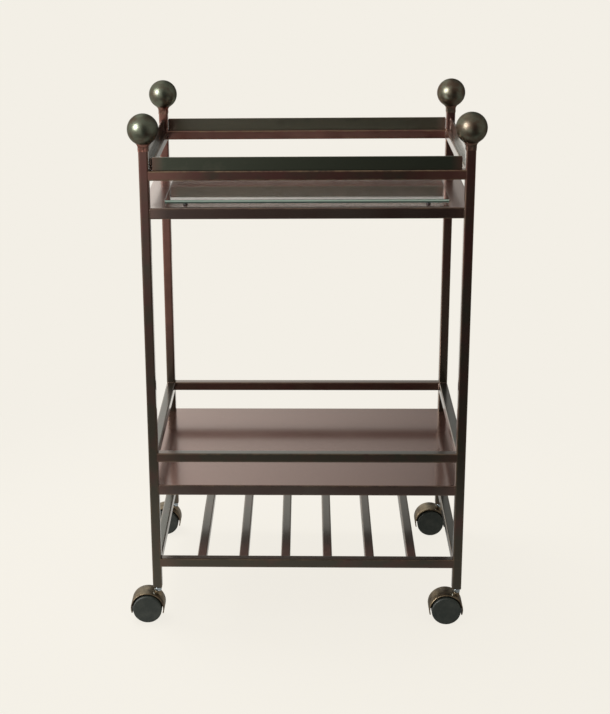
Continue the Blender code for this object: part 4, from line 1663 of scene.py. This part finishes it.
def studio_floor_finish(colours):
    """Matt pale paper. It keeps the cart's soft shadow, and runs into the backdrop at its rim.
    Polished metal sees it pale behind the cart and dimmer in front, as it sees the room."""
    finish, tree, output = blank_material("studio_paper")
    ray = node(tree, "ShaderNodeLightPath")
    place = node(tree, "ShaderNodeTexCoord").outputs["Object"]
    away = node(tree, "ShaderNodeVectorMath", {0: place}, operation="LENGTH")
    shade_share = node(
        tree,
        "ShaderNodeMapRange",
        {
            "Value": away.outputs["Value"],
            "From Min": 0.3,
            "From Max": 1.1,
            "To Min": 0.12,
            "To Max": 0.0,
        },
        interpolation_type="SMOOTHSTEP",
    )
    # The glow makes up what the paper's own shade takes away, so that only shadows show
    made_up = node(
        tree,
        "ShaderNodeMath",
        {0: shade_share.outputs[0], 1: 0.5, 2: 1.0},
        operation="MULTIPLY_ADD",
    )
    glow = node(
        tree,
        "ShaderNodeEmission",
        {"Color": colours.backdrop, "Strength": made_up.outputs[0]},
    )
    paper = node(tree, "ShaderNodeBsdfDiffuse", {"Color": colours.paper})
    shaded = node(
        tree,
        "ShaderNodeMixShader",
        {0: shade_share.outputs[0], 1: glow.outputs[0], 2: paper.outputs[0]},
    )
    direct = node(
        tree,
        "ShaderNodeMath",
        {0: ray.outputs["Is Camera Ray"], 1: ray.outputs["Is Transmission Ray"]},
        operation="MAXIMUM",
    )
    seen = node(
        tree,
        "ShaderNodeMixShader",
        {0: direct.outputs[0], 1: paper.outputs[0], 2: shaded.outputs[0]},
    )
    # What polished metal sees of it: under the cart and in front, farther in front, and behind
    parts = node(tree, "ShaderNodeSeparateXYZ", {0: place})
    sideways, backwards = parts.outputs["X"], parts.outputs["Y"]
    near = node(
        tree,
        "ShaderNodeMapRange",
        {"Value": sideways, "From Min": -0.4, "From Max": 0.35, "To Min": 0.7, "To Max": 0.34},
    )
    far = node(
        tree,
        "ShaderNodeMapRange",
        {"Value": sideways, "From Min": -0.55, "From Max": 0.3, "To Min": 0.34, "To Max": 0.1},
    )
    back = node(
        tree,
        "ShaderNodeMapRange",
        {"Value": sideways, "From Min": -0.4, "From Max": 0.4, "To Min": 1.3, "To Max": 0.6},
    )
    farther = node(
        tree,
        "ShaderNodeMapRange",
        {"Value": backwards, "From Min": -0.62, "From Max": -0.95},
    )
    behind = node(
        tree,
        "ShaderNodeMapRange",
        {"Value": backwards, "From Min": 0.2, "From Max": 0.8},
        interpolation_type="SMOOTHSTEP",
    )
    front = node(
        tree,
        "ShaderNodeMix",
        {0: farther.outputs[0], 2: near.outputs[0], 3: far.outputs[0]},
        data_type="FLOAT",
    )
    mirrored = node(
        tree,
        "ShaderNodeMix",
        {0: behind.outputs[0], 2: front.outputs[0], 3: back.outputs[0]},
        data_type="FLOAT",
    )
    reflected = node(
        tree,
        "ShaderNodeEmission",
        {"Color": colours.backdrop, "Strength": mirrored.outputs[0]},
    )
    surface = node(
        tree,
        "ShaderNodeMixShader",
        {0: ray.outputs["Is Glossy Ray"], 1: seen.outputs[0], 2: reflected.outputs[0]},
    )
    tree.links.new(surface.outputs[0], output.inputs["Surface"])
    return finish


class CART_OT_stage(Operator):
    """Makes the pale floor and backdrop and the soft light"""

    bl_idname = "cart.stage"
    bl_label = "Floor and light"

    def execute(self, context):
        colours = context.scene.cart_colours
        context.scene.world = studio_world(colours)
        bm = bmesh.new()
        bmesh.ops.create_circle(bm, cap_ends=True, segments=96, radius=FLOOR_RADIUS)
        mesh = bpy.data.meshes.new("studio_floor")
        bm.to_mesh(mesh)
        bm.free()
        mesh.materials.append(studio_floor_finish(colours))
        floor = bpy.data.objects.new("studio_floor", mesh)
        context.scene.collection.objects.link(floor)
        # The key softbox lights the metal's gloss, and the overhead one everything else
        key = bpy.data.lights.new("key_softbox", "SUN")
        key.energy = KEY_IRRADIANCE
        key.angle = KEY_ANGLE
        lamp = bpy.data.objects.new("key_softbox", key)
        context.scene.collection.objects.link(lamp)
        lamp.rotation_euler = Vector(KEY_WAY).to_track_quat("Z", "Y").to_euler()
        lamp.visible_diffuse = False
        lamp.visible_transmission = False
        overhead = bpy.data.lights.new("overhead_softbox", "AREA")
        overhead.energy = OVERHEAD_WATTS
        overhead.size = OVERHEAD_SIZE
        panel = bpy.data.objects.new("overhead_softbox", overhead)
        context.scene.collection.objects.link(panel)
        above = Vector(OVERHEAD_PLACE)
        turn = (above - Vector(OVERHEAD_AIM)).to_track_quat("Z", "Y").to_matrix().to_4x4()
        panel.matrix_world = Matrix.Translation(above) @ turn
        panel.visible_glossy = False
        context.scene.view_settings.view_transform = "Standard"
        return {"FINISHED"}


# The camera, solved from the frame's corners in the photograph: place in metres from between the
# front posts, yaw, pitch and roll in degrees, focal length in millimetres, and lens shift
CAMERA_PLACE = (0.00019, -2.60527, 1.29929)
CAMERA_TURNS = (-2.1158, 18.1596, -0.6587)
CAMERA_LENS = 77.054
CAMERA_SHIFT = (0.0728, -0.0132)


class CART_OT_camera(Operator):
    """Sets the camera where the photograph was taken from"""

    bl_idname = "cart.camera"
    bl_label = "Camera"

    def execute(self, context):
        middle = (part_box("post_front_left")[0].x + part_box("post_front_right")[1].x) / 2
        place = Vector(CAMERA_PLACE) + Vector((middle, 0, 0))
        yaw, pitch, roll = (math.radians(turn) for turn in CAMERA_TURNS)
        data = bpy.data.cameras.new("photo_camera")
        data.sensor_width = 36
        data.lens = CAMERA_LENS
        data.shift_x, data.shift_y = CAMERA_SHIFT
        camera = bpy.data.objects.new("photo_camera", data)
        context.scene.collection.objects.link(camera)
        turn = (
            Matrix.Rotation(-yaw, 4, "Z")
            @ Matrix.Rotation(math.pi / 2 - pitch, 4, "X")
            @ Matrix.Rotation(roll, 4, "Z")
        )
        camera.matrix_world = Matrix.Translation(place) @ turn
        context.scene.camera = camera
        return {"FINISHED"}


class CART_PT_panel(Panel):
    """Lists the cart's sizes, colours and pieces"""

    bl_idname = "CART_PT_panel"
    bl_label = "Bar cart"
    bl_space_type = "VIEW_3D"
    bl_region_type = "UI"
    bl_category = "Bar cart"

    def draw(self, context):
        for group in (context.scene.cart_sizes, context.scene.cart_colours):
            box = self.layout.box()
            for name in group.__annotations__:
                box.prop(group, name)
        for piece in PIECES:
            self.layout.operator(piece.bl_idname)


PIECES = (
    CART_OT_stage,
    CART_OT_camera,
    CART_OT_posts,
    CART_OT_rails,
    CART_OT_slats,
    CART_OT_bands,
    CART_OT_finials,
    CART_OT_shelves,
    CART_OT_glass,
    CART_OT_bumpers,
    CART_OT_stems,
    CART_OT_hoods,
    CART_OT_wheels,
    CART_OT_axles,
    CART_OT_welds,
)
CLASSES = (CartSizes, CartColours, *PIECES, CART_PT_panel)


def register():
    for made in CLASSES:
        bpy.utils.register_class(made)
    bpy.types.Scene.cart_sizes = PointerProperty(type=CartSizes)
    bpy.types.Scene.cart_colours = PointerProperty(type=CartColours)


def unregister():
    del bpy.types.Scene.cart_colours
    del bpy.types.Scene.cart_sizes
    for made in reversed(CLASSES):
        bpy.utils.unregister_class(made)


def main():
    register()
    for piece in PIECES:
        group, name = piece.bl_idname.split(".")
        getattr(getattr(bpy.ops, group), name)()


if __name__ == "__main__":
    main()
